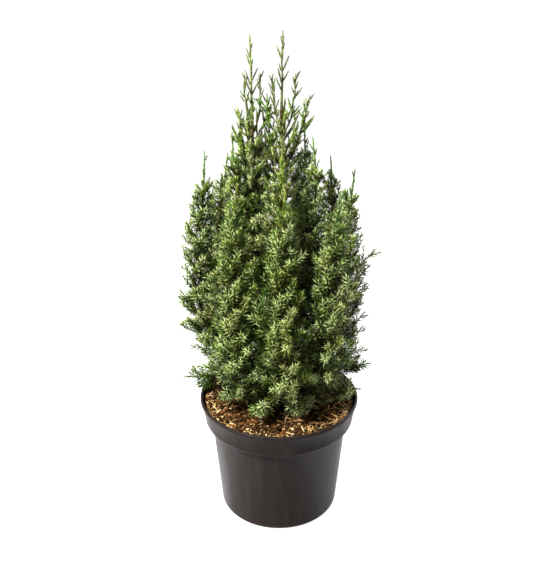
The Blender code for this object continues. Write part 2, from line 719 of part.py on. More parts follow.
def plan_tops(trunk, leader):
    """Stems of the two leaders' side plumes, and the spires that carry the leaders on."""
    for family, limb, plumes in (("trunk", trunk, TRUNK_PLUMES), ("leader", leader, LEADER_PLUMES)):
        for name, (height, azimuth, length, lean, reach, core) in plumes.items():
            start = on_limb(limb[0], SOIL_TOP + height)
            tilt = math.radians(lean)
            rise = polar(azimuth, length * math.sin(tilt), length * math.cos(tilt))
            keys = [start + 0.5 * rise + polar(azimuth, 0.004, 0.0), start + rise]
            bare = (SIDE_BARE, max(4, round(length / SIDE_WHORL)), 1)
            side_stem(f"foliage_{family}_{name}", limb, SOIL_TOP + height, azimuth, SIDE_ANGLE, keys,
                      SIDE_RADIUS, reach, (SIDE_TWIGS, SIDE_FIRST, bare, core))
    for name, limb, spire in (("right_spire", trunk, TRUNK_SPIRE), ("left_spire", leader, LEADER_SPIRE)):
        x, y, height, reach = spire
        path, radii = limb[:2]
        heading = unit(path[-1] - path[-2])
        start = path[-1] + heading * GAP
        tip = np.array([x, y, SOIL_TOP + height])
        keys = [start, start + heading * 0.4 * np.linalg.norm(tip - start), tip]
        add_mass(name, keys, radii[-1], reach, *SPIRE_FILLING)


def main():
    clear_scene()
    plastic = finish("pot plastic", (0.030, 0.027, 0.027), 0.42)
    compost = finish("bark compost", (0.090, 0.045, 0.022), 0.95)
    bark = finish("juniper bark", (0.130, 0.072, 0.048), 0.85)
    needles = finish("juniper needles", (0.085, 0.150, 0.045), 0.55)
    make_pot(plastic)
    make_soil(compost)
    trunk = make_trunk(bark)
    leader = make_leader(bark, trunk[0], trunk[2])
    plan_rings(bark, trunk, leader)
    plan_tops(trunk, leader)
    for mass in masses:
        make_mass(mass, needles)


main()
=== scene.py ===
import json
import math
import random

import bmesh
import bpy
import numpy as np
from mathutils import Matrix, Vector, kdtree, noise

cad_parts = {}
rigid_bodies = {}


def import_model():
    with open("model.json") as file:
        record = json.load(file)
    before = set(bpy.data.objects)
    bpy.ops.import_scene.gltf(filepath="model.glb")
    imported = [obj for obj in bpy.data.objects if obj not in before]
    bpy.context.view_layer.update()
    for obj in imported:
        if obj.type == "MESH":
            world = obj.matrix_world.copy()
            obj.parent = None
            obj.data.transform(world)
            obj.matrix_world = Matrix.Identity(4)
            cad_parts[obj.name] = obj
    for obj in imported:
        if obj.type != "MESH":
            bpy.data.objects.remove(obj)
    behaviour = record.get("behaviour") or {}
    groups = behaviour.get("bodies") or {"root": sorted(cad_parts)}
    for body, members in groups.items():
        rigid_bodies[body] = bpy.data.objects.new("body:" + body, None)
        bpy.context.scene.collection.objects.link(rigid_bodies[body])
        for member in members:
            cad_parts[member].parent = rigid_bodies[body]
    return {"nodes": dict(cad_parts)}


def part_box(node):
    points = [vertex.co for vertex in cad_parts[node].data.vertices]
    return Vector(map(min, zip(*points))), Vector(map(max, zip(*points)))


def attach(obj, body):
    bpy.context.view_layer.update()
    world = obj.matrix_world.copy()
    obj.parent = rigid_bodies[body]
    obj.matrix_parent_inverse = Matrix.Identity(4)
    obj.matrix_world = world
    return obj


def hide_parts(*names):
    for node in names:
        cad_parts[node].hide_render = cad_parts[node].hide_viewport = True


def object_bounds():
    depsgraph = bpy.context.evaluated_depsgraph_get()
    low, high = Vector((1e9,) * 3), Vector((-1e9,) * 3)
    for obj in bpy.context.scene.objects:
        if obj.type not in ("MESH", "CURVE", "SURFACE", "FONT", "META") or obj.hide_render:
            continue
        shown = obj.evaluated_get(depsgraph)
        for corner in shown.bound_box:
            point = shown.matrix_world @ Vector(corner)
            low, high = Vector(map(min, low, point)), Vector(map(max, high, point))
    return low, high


# Looks of a potted juniper: pot, bark mulch, bark, twigs and needles. Metres, +Z up, front at -Y.

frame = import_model()
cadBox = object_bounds()
print("frame loaded,", len(frame["nodes"]), "nodes")

gap = 0.0003  # two touching pieces keep this much
up = np.array([0.0, 0.0, 1.0])


# Camera

cameraView = {
    "place": (0.0, -1.068, 0.829),
    "tilt": 65.9,  # degrees up from looking straight down
    "lens": 52.93,
    "shift": -0.01045,
}


def linked(name, data):
    thing = bpy.data.objects.new(name, data)
    bpy.context.scene.collection.objects.link(thing)
    return thing


def makeCamera():
    camera = linked("camera", bpy.data.cameras.new("camera"))
    camera.location = cameraView["place"]
    camera.rotation_euler = (math.radians(cameraView["tilt"]), 0.0, 0.0)
    camera.data.lens = cameraView["lens"]
    camera.data.shift_x = cameraView["shift"]
    bpy.context.scene.camera = camera


# Small helpers for points, paths and pieces

def unit(vector):
    return vector / np.linalg.norm(vector)


def units(rows):
    return rows / np.linalg.norm(rows, axis=1)[:, None]


def polar(azimuth, radius, height):  # azimuth in degrees, anticlockwise from +X
    turn = math.radians(azimuth)
    return np.array([radius * math.cos(turn), radius * math.sin(turn), height])


def smoothPath(keys, count):  # evenly spaced points of a curve through the keys
    keys = [np.array(key, float) for key in keys]
    guarded = [2 * keys[0] - keys[1], *keys, 2 * keys[-1] - keys[-2]]
    fine = []
    for a, b, c, d in zip(guarded, guarded[1:], guarded[2:], guarded[3:]):
        for t in np.linspace(0, 1, 12, endpoint=False):
            fine.append(0.5 * (2 * b + (c - a) * t + (2 * a - 5 * b + 4 * c - d) * t**2
                               + (3 * b - a - 3 * c + d) * t**3))
    fine = np.array([*fine, keys[-1]])
    length = np.concatenate([[0], np.cumsum(np.linalg.norm(np.diff(fine, axis=0), axis=1))])
    wanted = np.linspace(0, length[-1], count)
    return np.stack([np.interp(wanted, length, fine[:, axis]) for axis in range(3)], axis=1)


def pointAt(path, share):  # point and heading at a share of an even path
    place = min(max(share, 0.0), 1.0) * (len(path) - 1)
    first = min(int(place), len(path) - 2)
    step = path[first + 1] - path[first]
    return path[first] + step * (place - first), unit(step)


def pathLength(path):
    return float(np.linalg.norm(np.diff(path, axis=0), axis=1).sum())


def addPiece(name, mesh, material, slotName, nodes):
    piece = linked(name, mesh)
    piece.data.materials.append(material)
    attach(piece, "root")
    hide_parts(*nodes)
    return piece


def meshOf(name, bm):
    mesh = bpy.data.meshes.new(name)
    bm.to_mesh(mesh)
    bm.free()
    return mesh


def arrayMesh(name, points, triangles):  # many small things at once, from arrays
    mesh = bpy.data.meshes.new(name)
    mesh.vertices.add(len(points))
    mesh.vertices.foreach_set("co", np.ascontiguousarray(points, np.float32).ravel())
    mesh.loops.add(triangles.size)
    mesh.loops.foreach_set("vertex_index", np.ascontiguousarray(triangles, np.int32).ravel())
    mesh.polygons.add(len(triangles))
    mesh.polygons.foreach_set("loop_start", np.arange(0, triangles.size, 3, dtype=np.int32))
    mesh.update(calc_edges=True)
    return mesh


# Materials

def screenColour(red, green, blue):  # 0 to 255 as seen on a screen, turned to linear light
    return (*[((c / 255 + 0.055) / 1.055) ** 2.4 for c in (red, green, blue)], 1.0)


def setInputs(node, values):
    for name, value in values.items():
        node.inputs[name].default_value = value


def newMaterial(name, roughness, specular):
    material = bpy.data.materials.new(name)
    material.use_nodes = True
    shader = material.node_tree.nodes["Principled BSDF"]
    setInputs(shader, {"Roughness": roughness, "Specular IOR Level": specular})
    return material, shader


def addNoise(tree, scale, stretch, detail, roughness=0.55):
    coordinates = tree.nodes.new("ShaderNodeTexCoord")
    mapping = tree.nodes.new("ShaderNodeMapping")
    mapping.inputs["Scale"].default_value = stretch
    pattern = tree.nodes.new("ShaderNodeTexNoise")
    setInputs(pattern, {"Scale": scale, "Detail": detail, "Roughness": roughness})
    tree.links.new(coordinates.outputs["Object"], mapping.inputs["Vector"])
    tree.links.new(mapping.outputs["Vector"], pattern.inputs["Vector"])
    return pattern.outputs["Fac"]


def addRamp(tree, value, stops):  # stops are (place, colour) pairs
    ramp = tree.nodes.new("ShaderNodeValToRGB")
    elements = ramp.color_ramp.elements
    stops = list(stops)
    while len(elements) < len(stops):
        elements.new(0.5)
    for element, (place, colour) in zip(elements, stops):
        element.position = place
        element.color = colour
    tree.links.new(value, ramp.inputs["Fac"])
    return ramp.outputs["Color"]


def addRange(tree, value, low, high):  # from most of what a noise gives
    spread = tree.nodes.new("ShaderNodeMapRange")
    setInputs(spread, {"From Min": 0.3, "From Max": 0.7, "To Min": low, "To Max": high})
    tree.links.new(value, spread.inputs["Value"])
    return spread.outputs["Result"]


def addBump(tree, shader, height, strength, distance, under=None):
    bump = tree.nodes.new("ShaderNodeBump")
    setInputs(bump, {"Strength": strength, "Distance": distance})
    tree.links.new(height, bump.inputs["Height"])
    if under:
        tree.links.new(under, bump.inputs["Normal"])
    tree.links.new(bump.outputs["Normal"], shader.inputs["Normal"])
    return bump.outputs["Normal"]


plasticLook = {
    "dark": screenColour(37, 30, 27),
    "mid": screenColour(45, 37, 34),
    # the lightest of the three streak colours; the streaks fall at random
    "palestStreak": screenColour(62, 52, 48),
    "stops": (0.28, 0.52, 0.80),  # of the noise, where the streaks take those colours
    "streaks": (70.0, 70.0, 3.0),  # noise per metre, stretched upright
    "smears": (34.0, (1.0, 1.0, 0.35)),
    "roughness": (0.26, 0.42),
    "grain": (2400.0, 0.25, 0.00008),  # scale, and the bump's strength and depth
    "ripples": ((55.0, 55.0, 6.0), 0.35, 0.0005),
}


def plasticMaterial():  # warm black moulded plastic, with faint upright streaks
    material, shader = newMaterial("pot plastic", 0.42, 0.06)
    tree, look = material.node_tree, plasticLook
    colours = [look["dark"], look["mid"], look["palestStreak"]]
    colour = addRamp(tree, addNoise(tree, 1.0, look["streaks"], 3.0), zip(look["stops"], colours))
    tree.links.new(colour, shader.inputs["Base Color"])
    roughness = addRange(tree, addNoise(tree, *look["smears"], 5.0), *look["roughness"])
    tree.links.new(roughness, shader.inputs["Roughness"])
    scale, *bump = look["grain"]
    grain = addBump(tree, shader, addNoise(tree, scale, (1.0, 1.0, 1.0), 2.0), *bump)
    stretch, *bump = look["ripples"]
    addBump(tree, shader, addNoise(tree, 1.0, stretch, 2.0), *bump, grain)
    return material


def woodyMaterial(name, darker, lighter, stretch, scale, bump):
    material, shader = newMaterial(name, 0.85, 0.10)
    tree = material.node_tree
    fibres = addNoise(tree, scale, stretch, 5.0, 0.65)
    middle = tuple(0.5 * (a + b) for a, b in zip(darker, lighter))
    colour = addRamp(tree, fibres, [(0.30, darker), (0.50, middle), (0.70, lighter)])
    tree.links.new(colour, shader.inputs["Base Color"])
    addBump(tree, shader, fibres, 0.8, bump)
    return material


def needleMaterial(name, colour):  # a plain base colour, dealt out by spray
    material, shader = newMaterial(name, 0.42, 0.16)
    shader.inputs["Base Color"].default_value = colour
    return material


# Pot: a profile spun round, with drain notches cut in its foot

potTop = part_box("pot")[1]
potShape = {
    "height": potTop.z,
    "rim": potTop.x,
    "bead": 0.0018,
    "beadHeight": 0.005,
    "beadRound": 0.0013,
    "band": 0.040,  # height of the wide band under the rim
    "bandTaper": 0.0045,
    "bandFoot": 0.009,  # radius of the curve that carries the band into the body
    "bodyTop": 0.0985,
    "bodyFoot": 0.0868,
    "footRound": 0.008,
    "wall": 0.0018,
    "floor": 0.003,
    "steps": 144,
    "notches": 8,
    "notchStart": 22.5,
    "notchSize": (0.012, 0.011, 0.0045),
    "notchRound": 0.0009,
    "sharpFrom": 40.0,  # degrees between faces
}


def arcPoints(centre, radius, start, end, count):
    return [(centre[0] + radius * math.cos(math.radians(a)), centre[1] + radius * math.sin(math.radians(a)))
            for a in np.linspace(start, end, count)]


def potInside():  # inner wall from the floor to the rim
    p = potShape
    shoulder = p["height"] - p["band"]
    bandInside = p["rim"] - p["bead"] - p["wall"]
    return [
        (p["bodyFoot"] - p["wall"] - 0.6 * p["footRound"], p["floor"]),
        (p["bodyFoot"] - p["wall"], p["floor"] + p["footRound"]),
        (p["bodyTop"] - p["wall"], shoulder - p["wall"]),
        (bandInside - p["bandTaper"], shoulder + p["bandFoot"]),
        (bandInside, p["height"] - 0.0006),
    ]


def potOutside():  # from the rim down to the underside
    p = potShape
    shoulder = p["height"] - p["band"]
    band = p["rim"] - p["bead"]
    beadMiddle = (p["rim"] - p["beadRound"], p["height"] - p["beadRound"])
    bandFoot = (band - p["bandTaper"] - p["bandFoot"], shoulder + p["bandFoot"])
    return [
        (band - p["wall"] + 0.0005, p["height"]),
        *arcPoints(beadMiddle, p["beadRound"], 90, 0, 6),
        (p["rim"], p["height"] - p["beadHeight"] + 0.0014),
        (p["rim"] - 0.0004, p["height"] - p["beadHeight"] + 0.0005),
        (band + 0.0003, p["height"] - p["beadHeight"]),
        (band - 0.0002, p["height"] - p["beadHeight"] - 0.0006),
        *arcPoints(bandFoot, p["bandFoot"], 0, -80, 9),
        (p["bodyTop"] + 0.0006, shoulder - 0.0003),
        (p["bodyTop"], shoulder - 0.0012),
        *arcPoints((p["bodyFoot"] - p["footRound"], p["footRound"]), p["footRound"], 0, -84, 8),
        (p["bodyFoot"] - p["footRound"], 0.0),
    ]


def spun(profile, steps):  # a full turn of a profile that ends on the axis
    bm = bmesh.new()
    points = [bm.verts.new((r, 0.0, z)) for r, z in profile]
    edges = [bm.edges.new(pair) for pair in zip(points, points[1:])]
    bmesh.ops.spin(bm, geom=points + edges, axis=(0, 0, 1), cent=(0, 0, 0), angle=2 * math.pi,
                   steps=steps, use_merge=True)
    bmesh.ops.remove_doubles(bm, verts=bm.verts, dist=1e-6)
    bmesh.ops.recalc_face_normals(bm, faces=bm.faces)
    return bm


def drainNotches():
    p = potShape
    bm = bmesh.new()
    for number in range(p["notches"]):
        turn = Matrix.Rotation(math.radians(p["notchStart"] + 360.0 * number / p["notches"]), 4, "Z")
        cube = bmesh.ops.create_cube(bm, size=1.0)["verts"]
        bmesh.ops.scale(bm, vec=p["notchSize"], verts=cube)
        bmesh.ops.transform(bm, matrix=turn @ Matrix.Translation((p["bodyFoot"], 0, 0)), verts=cube)
    upper = [edge for edge in bm.edges if abs(edge.verts[0].co.z - edge.verts[1].co.z) < 1e-6
             and edge.verts[0].co.z > 0]
    bmesh.ops.bevel(bm, geom=upper, offset=p["notchRound"], offset_type="OFFSET", segments=3, profile=0.5,
                    affect="EDGES", material=-1)
    return bm


def makePot(material):
    uncut = spun([(0.0, potShape["floor"]), *potInside(), *potOutside(), (0.0, 0.0)], potShape["steps"])
    shell = linked("pot_uncut", meshOf("pot_shell", uncut))
    cutter = linked("notches", meshOf("notches", drainNotches()))
    cut = shell.modifiers.new("drain", "BOOLEAN")
    cut.operation = "DIFFERENCE"
    cut.object = cutter
    cut.solver = "EXACT"
    bpy.context.view_layer.update()
    finished = bpy.data.meshes.new_from_object(shell.evaluated_get(bpy.context.evaluated_depsgraph_get()))
    bpy.data.objects.remove(cutter)
    bpy.data.objects.remove(shell)
    finished.materials.clear()
    finished.shade_smooth()
    finished.set_sharp_from_angle(angle=math.radians(potShape["sharpFrom"]))
    addPiece("nursery_pot", finished, material, "pot_plastic", ["pot"])
    print("pot made,", len(finished.polygons), "faces")


# Compost and its mulch of shredded bark

mulch = {
    "top": 0.172,  # level of the compost
    "wallGap": 1.5 * gap,
    "flat": 0.027,  # radius of the flat place round the trunk
    "flatEdge": 0.020,  # width over which the lumps set in
    "lump": 0.0022,
    "lumpScale": 55.0,
    "crumb": 0.0012,
    "crumbScale": 240.0,
    "steps": 120,
    "rings": 48,
    "chips": 5400,
    "length": (0.003, 0.012),
    "width": (0.0009, 0.0029),
    "thickness": (0.0005, 0.0013),
    "bigShare": 0.15,  # share of the chips that are long, and wider by the last
    "bigLength": (0.012, 0.024),
    "bigWider": 1.5,
    "tilt": 0.24,  # usual, in radians, of a chip's length, and its roll
    "roll": 0.5,
    "lift": (-0.0002, 0.0042),
    "edgeRoom": 0.0012,
    "trunkRoom": 0.017,
    "rimStart": 0.080,  # outside this radius the chips get lighter and longer
    "rimWidth": 0.020,
    "rimLonger": 0.2,
    "seed": 41,
    "tints": {  # darker and lighter colour, share inside, share near the rim
        "umber": (screenColour(42, 25, 8), screenColour(68, 46, 22), 0.54, 0.40),
        "brown": (screenColour(70, 47, 24), screenColour(106, 76, 42), 0.22, 0.22),
        "rust": (screenColour(98, 58, 26), screenColour(144, 92, 44), 0.07, 0.07),
        "tan": (screenColour(146, 110, 62), screenColour(192, 152, 96), 0.11, 0.18),
        "straw": (screenColour(192, 160, 108), screenColour(228, 204, 158), 0.06, 0.13),
    },
}


def soilEdge():  # radius of the compost where it meets the wall
    foot, top = potInside()[-2:]
    share = (mulch["top"] - foot[1]) / (top[1] - foot[1])
    return foot[0] + share * (top[0] - foot[0]) - mulch["wallGap"]


def soilHeight(x, y):
    radius = math.hypot(x, y)
    share = min(1.0, max(0.0, (radius - mulch["flat"]) / mulch["flatEdge"]))
    place = Vector((x, y, mulch["top"]))
    lump = mulch["lump"] * noise.noise(place * mulch["lumpScale"])
    crumb = mulch["crumb"] * noise.noise(place * mulch["crumbScale"])
    return mulch["top"] + share * (lump + crumb)


def makeSoil(material):
    inside = [(r - mulch["wallGap"], z + gap) for r, z in potInside()]
    top = [(r, mulch["top"]) for r in np.linspace(0.0, soilEdge(), mulch["rings"])]
    bm = spun([*top, *reversed(inside[:-1]), (0.0, potShape["floor"] + gap)], mulch["steps"])
    for vertex in bm.verts:
        if vertex.co.z > mulch["top"] - gap:
            vertex.co.z = soilHeight(vertex.co.x, vertex.co.y)
    mesh = meshOf("compost", bm)
    mesh.shade_smooth()
    addPiece("compost", mesh, material, "bark_compost", ["soil"])


def chipShape(rng, length, width, thickness):  # a splinter of three ragged cross-sections
    points = []
    rings = (-0.5, rng.uniform(0.25, 0.8)), (rng.uniform(-0.1, 0.1), 1.0), (0.5, rng.uniform(0.2, 0.7))
    for along, girth in rings:
        for across, over in ((-1, -1), (1, -1), (1, 1), (-1, 1)):
            points.append((
                length * (along + rng.uniform(-0.07, 0.07)),
                0.5 * width * girth * across * rng.uniform(0.7, 1.25),
                0.5 * thickness * over * rng.uniform(0.6, 1.3) + 0.05 * length * (0.25 - along * along),
            ))
    return np.array(points)


def chipFaces():  # the skin of three rings of four points, as triangles
    faces = [(0, 3, 2), (0, 2, 1), (8, 9, 10), (8, 10, 11)]
    for ring in (0, 4):
        for side in range(4):
            a, b = ring + side, ring + (side + 1) % 4
            faces += [(a, b, b + 4), (a, b + 4, a + 4)]
    return np.array(faces)


def makeMulch():
    m = mulch
    rng = random.Random(m["seed"])
    edge = soilEdge() - m["edgeRoom"]
    found = {name: [] for name in m["tints"]}
    for number in range(m["chips"]):
        big = rng.random() < m["bigShare"]
        length = rng.uniform(*m["bigLength" if big else "length"])
        width = rng.uniform(*m["width"]) * (m["bigWider"] if big else 1.0)
        radius = edge * math.sqrt(rng.random())
        azimuth, heading = rng.uniform(0, 2 * math.pi), rng.uniform(0, 2 * math.pi)
        nearRim = min(1.0, max(0.0, (radius - m["rimStart"]) / m["rimWidth"]))
        x, y = radius * math.cos(azimuth), radius * math.sin(azimuth)
        turn = Matrix.Rotation(heading, 3, "Z") @ Matrix.Rotation(rng.gauss(0, m["tilt"]), 3, "Y")
        turn = turn @ Matrix.Rotation(rng.gauss(0, m["roll"]), 3, "X")
        length *= 1 + m["rimLonger"] * nearRim
        points = chipShape(rng, length, width, rng.uniform(*m["thickness"])) @ np.array(turn).T
        reach = np.hypot(points[:, 0] + x, points[:, 1] + y).max()
        if reach > edge:  # drawn in from the wall
            x, y = x * (1 - (reach - edge) / radius), y * (1 - (reach - edge) / radius)
        if math.hypot(x - trunkShape["foot"][0], y - trunkShape["foot"][1]) < m["trunkRoom"]:
            continue
        lift = rng.uniform(*m["lift"])
        weights = [(1 - nearRim) * tint[2] + nearRim * tint[3] for tint in m["tints"].values()]
        found[rng.choices(list(found), weights)[0]].append(points + (x, y, soilHeight(x, y) + lift))
    for name, tint in m["tints"].items():
        triangles = np.concatenate([chipFaces() + 12 * number for number in range(len(found[name]))])
        material = woodyMaterial(f"chips {name}", *tint[:2], (1.0, 1.0, 1.0), 420.0, 0.0004)
        mesh = arrayMesh(f"chips_{name}", np.concatenate(found[name]), triangles)
        addPiece(f"bark_chips_{name}", mesh, material, "bark_compost", ["soil"])
    print("mulch made,", sum(len(chips) for chips in found.values()), "chips")


# Trunk, second leader and boughs, with the bark's relief

trunkShape = {
    "foot": (-0.006, 0.005),
    "keys": ((-0.004, 0.004, 0.270), (0.001, 0.002, 0.420), (0.0032, 0.0008, 0.600)),
    "straight": 0.020,  # the foot stands upright over this height
    "radii": (0.0098, 0.0017),
    "flare": 0.0052,
    "flareHeight": 0.007,
    "lobes": 4,
    "lobe": 0.22,
    "lobeTurn": 0.6,
}
leaderShape = {
    "fork": 0.222,
    "x": -0.033,
    "top": 0.583,
    "radii": (0.0056, 0.0016),
}
boughShape = {
    "radii": {"outer": (0.0033, 0.0017), "inner": (0.0029, 0.0015)},
    "leave": {"outer": (0.018, 0.011), "inner": (0.058, 0.008)},  # lowest over the compost, and step
    "sag": 0.10,  # of the bough's span, and where along it
    "sagPlace": 0.45,
    "runIn": 0.16,  # straight into the plume's stem
    "samples": 24,
}
barkLook = {
    "step": 0.0016,  # between rings of the mesh
    "sides": 18,
    "ridge": 0.10,  # depth of the ridges as a share of the radius
    "scale": 3.2,  # of the noise round the limb
    "ridgeScale": 1.6,  # of that, for the ridges and for the peeling strips
    "stripScale": 0.7,
    "stretch": 55.0,  # noise per metre along the limb, and the strips' share of it
    "stripStretch": 0.35,
    "strip": 0.09,  # lift of the strips
    "stripPower": 0.6,
    "sink": 0.04,  # so the relief keeps to the solid's girth on the whole
}
limbs = []  # path and radii of each, for foliage to stay clear of


def onLimb(path, height):
    return np.array([np.interp(height, path[:, 2], path[:, axis]) for axis in range(3)])


def trunkLine():
    x, y = trunkShape["foot"]
    foot = mulch["top"] + gap
    path = smoothPath([(x, y, foot), (x, y, foot + trunkShape["straight"]), *trunkShape["keys"]], 180)
    height = path[:, 2] - foot
    first, last = trunkShape["radii"]
    radii = last + (first - last) * (1 - height / height[-1]) ** 0.85
    return path, radii + trunkShape["flare"] * np.exp(-height / trunkShape["flareHeight"])


def leaderLine(trunkPath):
    x = leaderShape["x"]
    keys = [onLimb(trunkPath, leaderShape["fork"]), (-0.019, 0.002, 0.253), (x + 0.003, -0.001, 0.330),
            (x, 0.001, 0.450), (x - 0.001, 0.0, leaderShape["top"])]
    path = smoothPath(keys, 140)
    return path, np.linspace(*leaderShape["radii"], len(path))


def ringMatrix(point, heading, radius):
    turn = Vector(heading).to_track_quat("Z", "Y").to_matrix().to_4x4()
    return Matrix.Translation(Vector(point)) @ turn @ Matrix.Scale(radius, 4)


def barkLimb(name, node, path, radii, material, roots=False):
    look = barkLook
    rings = max(6, int(pathLength(path) / look["step"]))
    even = np.linspace(0, 1, rings)
    girth = np.interp(even, np.linspace(0, 1, len(path)), radii)
    seed = 7.31 * len(limbs)  # each limb's own part of the noise
    bm = bmesh.new()
    last = ringMatrix(*pointAt(path, 0.0), girth[0])
    bmesh.ops.create_circle(bm, cap_ends=True, segments=look["sides"], radius=1.0, matrix=last)
    cap = bm.faces[:]
    ringsOf = [bm.verts[:]]
    for number in range(1, rings):
        made = bmesh.ops.extrude_face_region(bm, geom=cap)["geom"]
        if number > 1:
            bmesh.ops.delete(bm, geom=cap, context="FACES_ONLY")
        cap = [item for item in made if isinstance(item, bmesh.types.BMFace)]
        ring = [item for item in made if isinstance(item, bmesh.types.BMVert)]
        this = ringMatrix(*pointAt(path, even[number]), girth[number])
        bmesh.ops.transform(bm, matrix=this @ last.inverted(), verts=ring)
        ringsOf.append(ring)
        last = this
    foot = path[0]
    for number, ring in enumerate(ringsOf):
        centre = Vector(pointAt(path, even[number])[0])
        for vertex in ring:
            outward = vertex.co - centre
            along = vertex.co.z * look["stretch"] + seed
            side = outward.normalized() * look["scale"]
            turn = look["ridgeScale"]
            ridges = noise.noise(Vector((side.x * turn, side.y * turn, along)))
            turn = look["stripScale"]
            strips = noise.noise(Vector((side.x * turn, side.y * turn, along * look["stripStretch"] + 9.0)))
            lift = look["ridge"] * ridges + look["strip"] * max(0.0, strips) ** look["stripPower"]
            if roots:
                height = vertex.co.z - foot[2]
                lobe = trunkShape["lobe"] * math.exp(-height / trunkShape["flareHeight"])
                turn = math.atan2(vertex.co.y - foot[1], vertex.co.x - foot[0])
                lift += lobe * math.cos(trunkShape["lobes"] * turn + trunkShape["lobeTurn"])
            vertex.co += outward * (lift - look["sink"])
    if roots:
        for vertex in ringsOf[0]:
            vertex.co.z = foot[2]
    bmesh.ops.recalc_face_normals(bm, faces=bm.faces)
    mesh = meshOf(name, bm)
    mesh.shade_smooth()
    addPiece(name, mesh, material, "juniper_bark", [node])


def keepLimb(path, radii):
    count = max(4, int(pathLength(path) / 0.002))
    source = np.linspace(0, 1, len(path))
    even = np.linspace(0, 1, count)
    samples = np.stack([np.interp(even, source, path[:, axis]) for axis in range(3)], axis=1)
    limbs.append((samples, np.interp(even, source, radii)))


# The plan of the crown, the solids' own but for a small wander: the plumes' stems, each with a space round it

crown = {
    "outerStart": -6.0,
    "outerStep": 40.0,
    "outerPlumes": (  # tip radius, tip height, waist radius
        (0.096, 0.350, 0.093), (0.084, 0.352, 0.096), (0.088, 0.325, 0.100), (0.088, 0.335, 0.100),
        (0.080, 0.359, 0.104), (0.098, 0.376, 0.110), (0.090, 0.350, 0.100), (0.070, 0.338, 0.083),
        (0.104, 0.338, 0.097),
    ),
    "outerFoot": (0.050, 0.030),
    "outerElbow": (0.086, 0.084),
    "outerWaist": 0.175,
    "innerStart": 54.0,
    "innerStep": 72.0,
    "innerTips": ((0.050, 0.404), (0.048, 0.415), (0.062, 0.400), (0.046, 0.378), (0.045, 0.392)),
    "innerFoot": (0.034, 0.082),
    "innerElbow": (0.054, 0.200),
    "leaderSide": (150.0, 250.0),  # inner plumes at these azimuths are borne by the left leader
    "leaderShift": (-0.016, 0.0, 0.0),
    "skirtStart": 14.0,
    "skirtStep": 40.0,
    "skirtTips": (
        (0.138, 0.042), (0.124, 0.052), (0.122, 0.056), (0.128, 0.054), (0.138, 0.028),
        (0.094, 0.030), (0.096, 0.027), (0.092, 0.031), (0.124, 0.050),
    ),
    "skirtHeight": 0.0075,
    "skirtMiddle": (0.062, 0.034),
    "trunkPlumes": {  # height above the compost, azimuth, length, lean, reach
        "right_low": (0.332, 0.0, 0.116, 18.0, 0.028),
        "left_low": (0.326, 160.0, 0.118, 9.0, 0.020),
        "front_low": (0.300, 272.0, 0.118, 14.0, 0.026),
        "right_high": (0.390, -14.0, 0.084, 16.0, 0.017),
        "left_high": (0.396, 196.0, 0.074, 9.0, 0.013),
    },
    "leaderPlumes": {
        "left_low": (0.312, 184.0, 0.116, 9.0, 0.026),
        "front_low": (0.296, 262.0, 0.100, 14.0, 0.022),
        "back_low": (0.318, 92.0, 0.114, 13.0, 0.022),
        "left_high": (0.378, 176.0, 0.090, 7.0, 0.016),
        "right_high": (0.396, 16.0, 0.073, 8.0, 0.012),
    },
    "sideBow": 0.004,
    "rightSpire": (0.004, 0.001, 0.521, 0.014),  # x, y, height of the tip, reach
    "leftSpire": (-0.0355, 0.0, 0.515, 0.014),
    "spireStraight": 0.4,
    "reach": {"outer": 0.040, "inner": 0.034, "skirt": 0.034},
    "shoulder": (0.14, 0.34, 0.6),  # how a space widens from its foot, and closes at its tip
    "closing": (1.04, 0.48),
    "swell": 1.12,
    "leastReach": 0.002,
    "leavingAngle": {"skirt": 70.0, "side": 34.0},
    "leaving": 0.008,  # a stem goes straight out of the bark this far
    "stemRadius": {"skirt": 0.0014, "side": 0.0012},
    "twigs": {"outer": 7, "inner": 5, "skirt": 4, "side": 4, "spire": 5},  # as many as the solids'
    "firstTwig": {"outer": 0.08, "inner": 0.08, "skirt": 0.26, "side": 0.20, "spire": 0.06},
    "firstSeed": 100,
    "samples": 13,
    "wander": (0.0065, 0.0020),  # of a stem from its smooth line, and of a spire
    "wanders": 3.2,  # waves of that along a stem
}
masses = []


def aboveSoil(azimuth, place):
    return polar(azimuth, place[0], mulch["top"] + place[1])


def wandered(stem, seed, most):
    for index, share in enumerate(np.linspace(0, 1, len(stem))):
        for axis in (0, 1):  # noise.noise, because noise_vector differs from run to run
            place = Vector((crown["wanders"] * share, 3.7 * seed, 0.5 + 20 * axis))
            stem[index, axis] += most * share**0.5 * noise.noise(place)
    return stem


def addMass(kind, node, keys, radius, reach):
    seed = crown["firstSeed"] + len(masses)
    stem = wandered(smoothPath(keys, crown["samples"]), seed, crown["wander"][kind == "spire"])
    masses.append({"kind": kind, "node": node, "stem": stem, "radius": radius, "reach": reach,
                   "twigs": crown["twigs"][kind], "first": crown["firstTwig"][kind], "seed": seed})


def stemFromBough(ring, number, limb, keys, material):
    b, foot = boughShape, keys[0]
    radii, (lowest, step) = b["radii"][ring], b["leave"][ring]
    start = onLimb(limb[0], mulch["top"] + lowest + step * (number % 3))
    heading = unit(smoothPath(keys, crown["samples"])[1] - foot)
    span = np.linalg.norm(foot - start)
    sag = start + b["sagPlace"] * (foot - start) + (0, 0, -b["sag"] * span)
    path = smoothPath([start, sag, foot - b["runIn"] * span * heading, foot], b["samples"])
    taper = np.linspace(*radii, len(path))
    name = f"{ring}_{number + 1}"
    barkLimb(f"bark_{name}", f"bough_{name}", path, taper, material)
    keepLimb(path, taper)
    addMass(ring, f"foliage_{name}", [foot + heading * gap, *keys[1:]], radii[1], crown["reach"][ring])


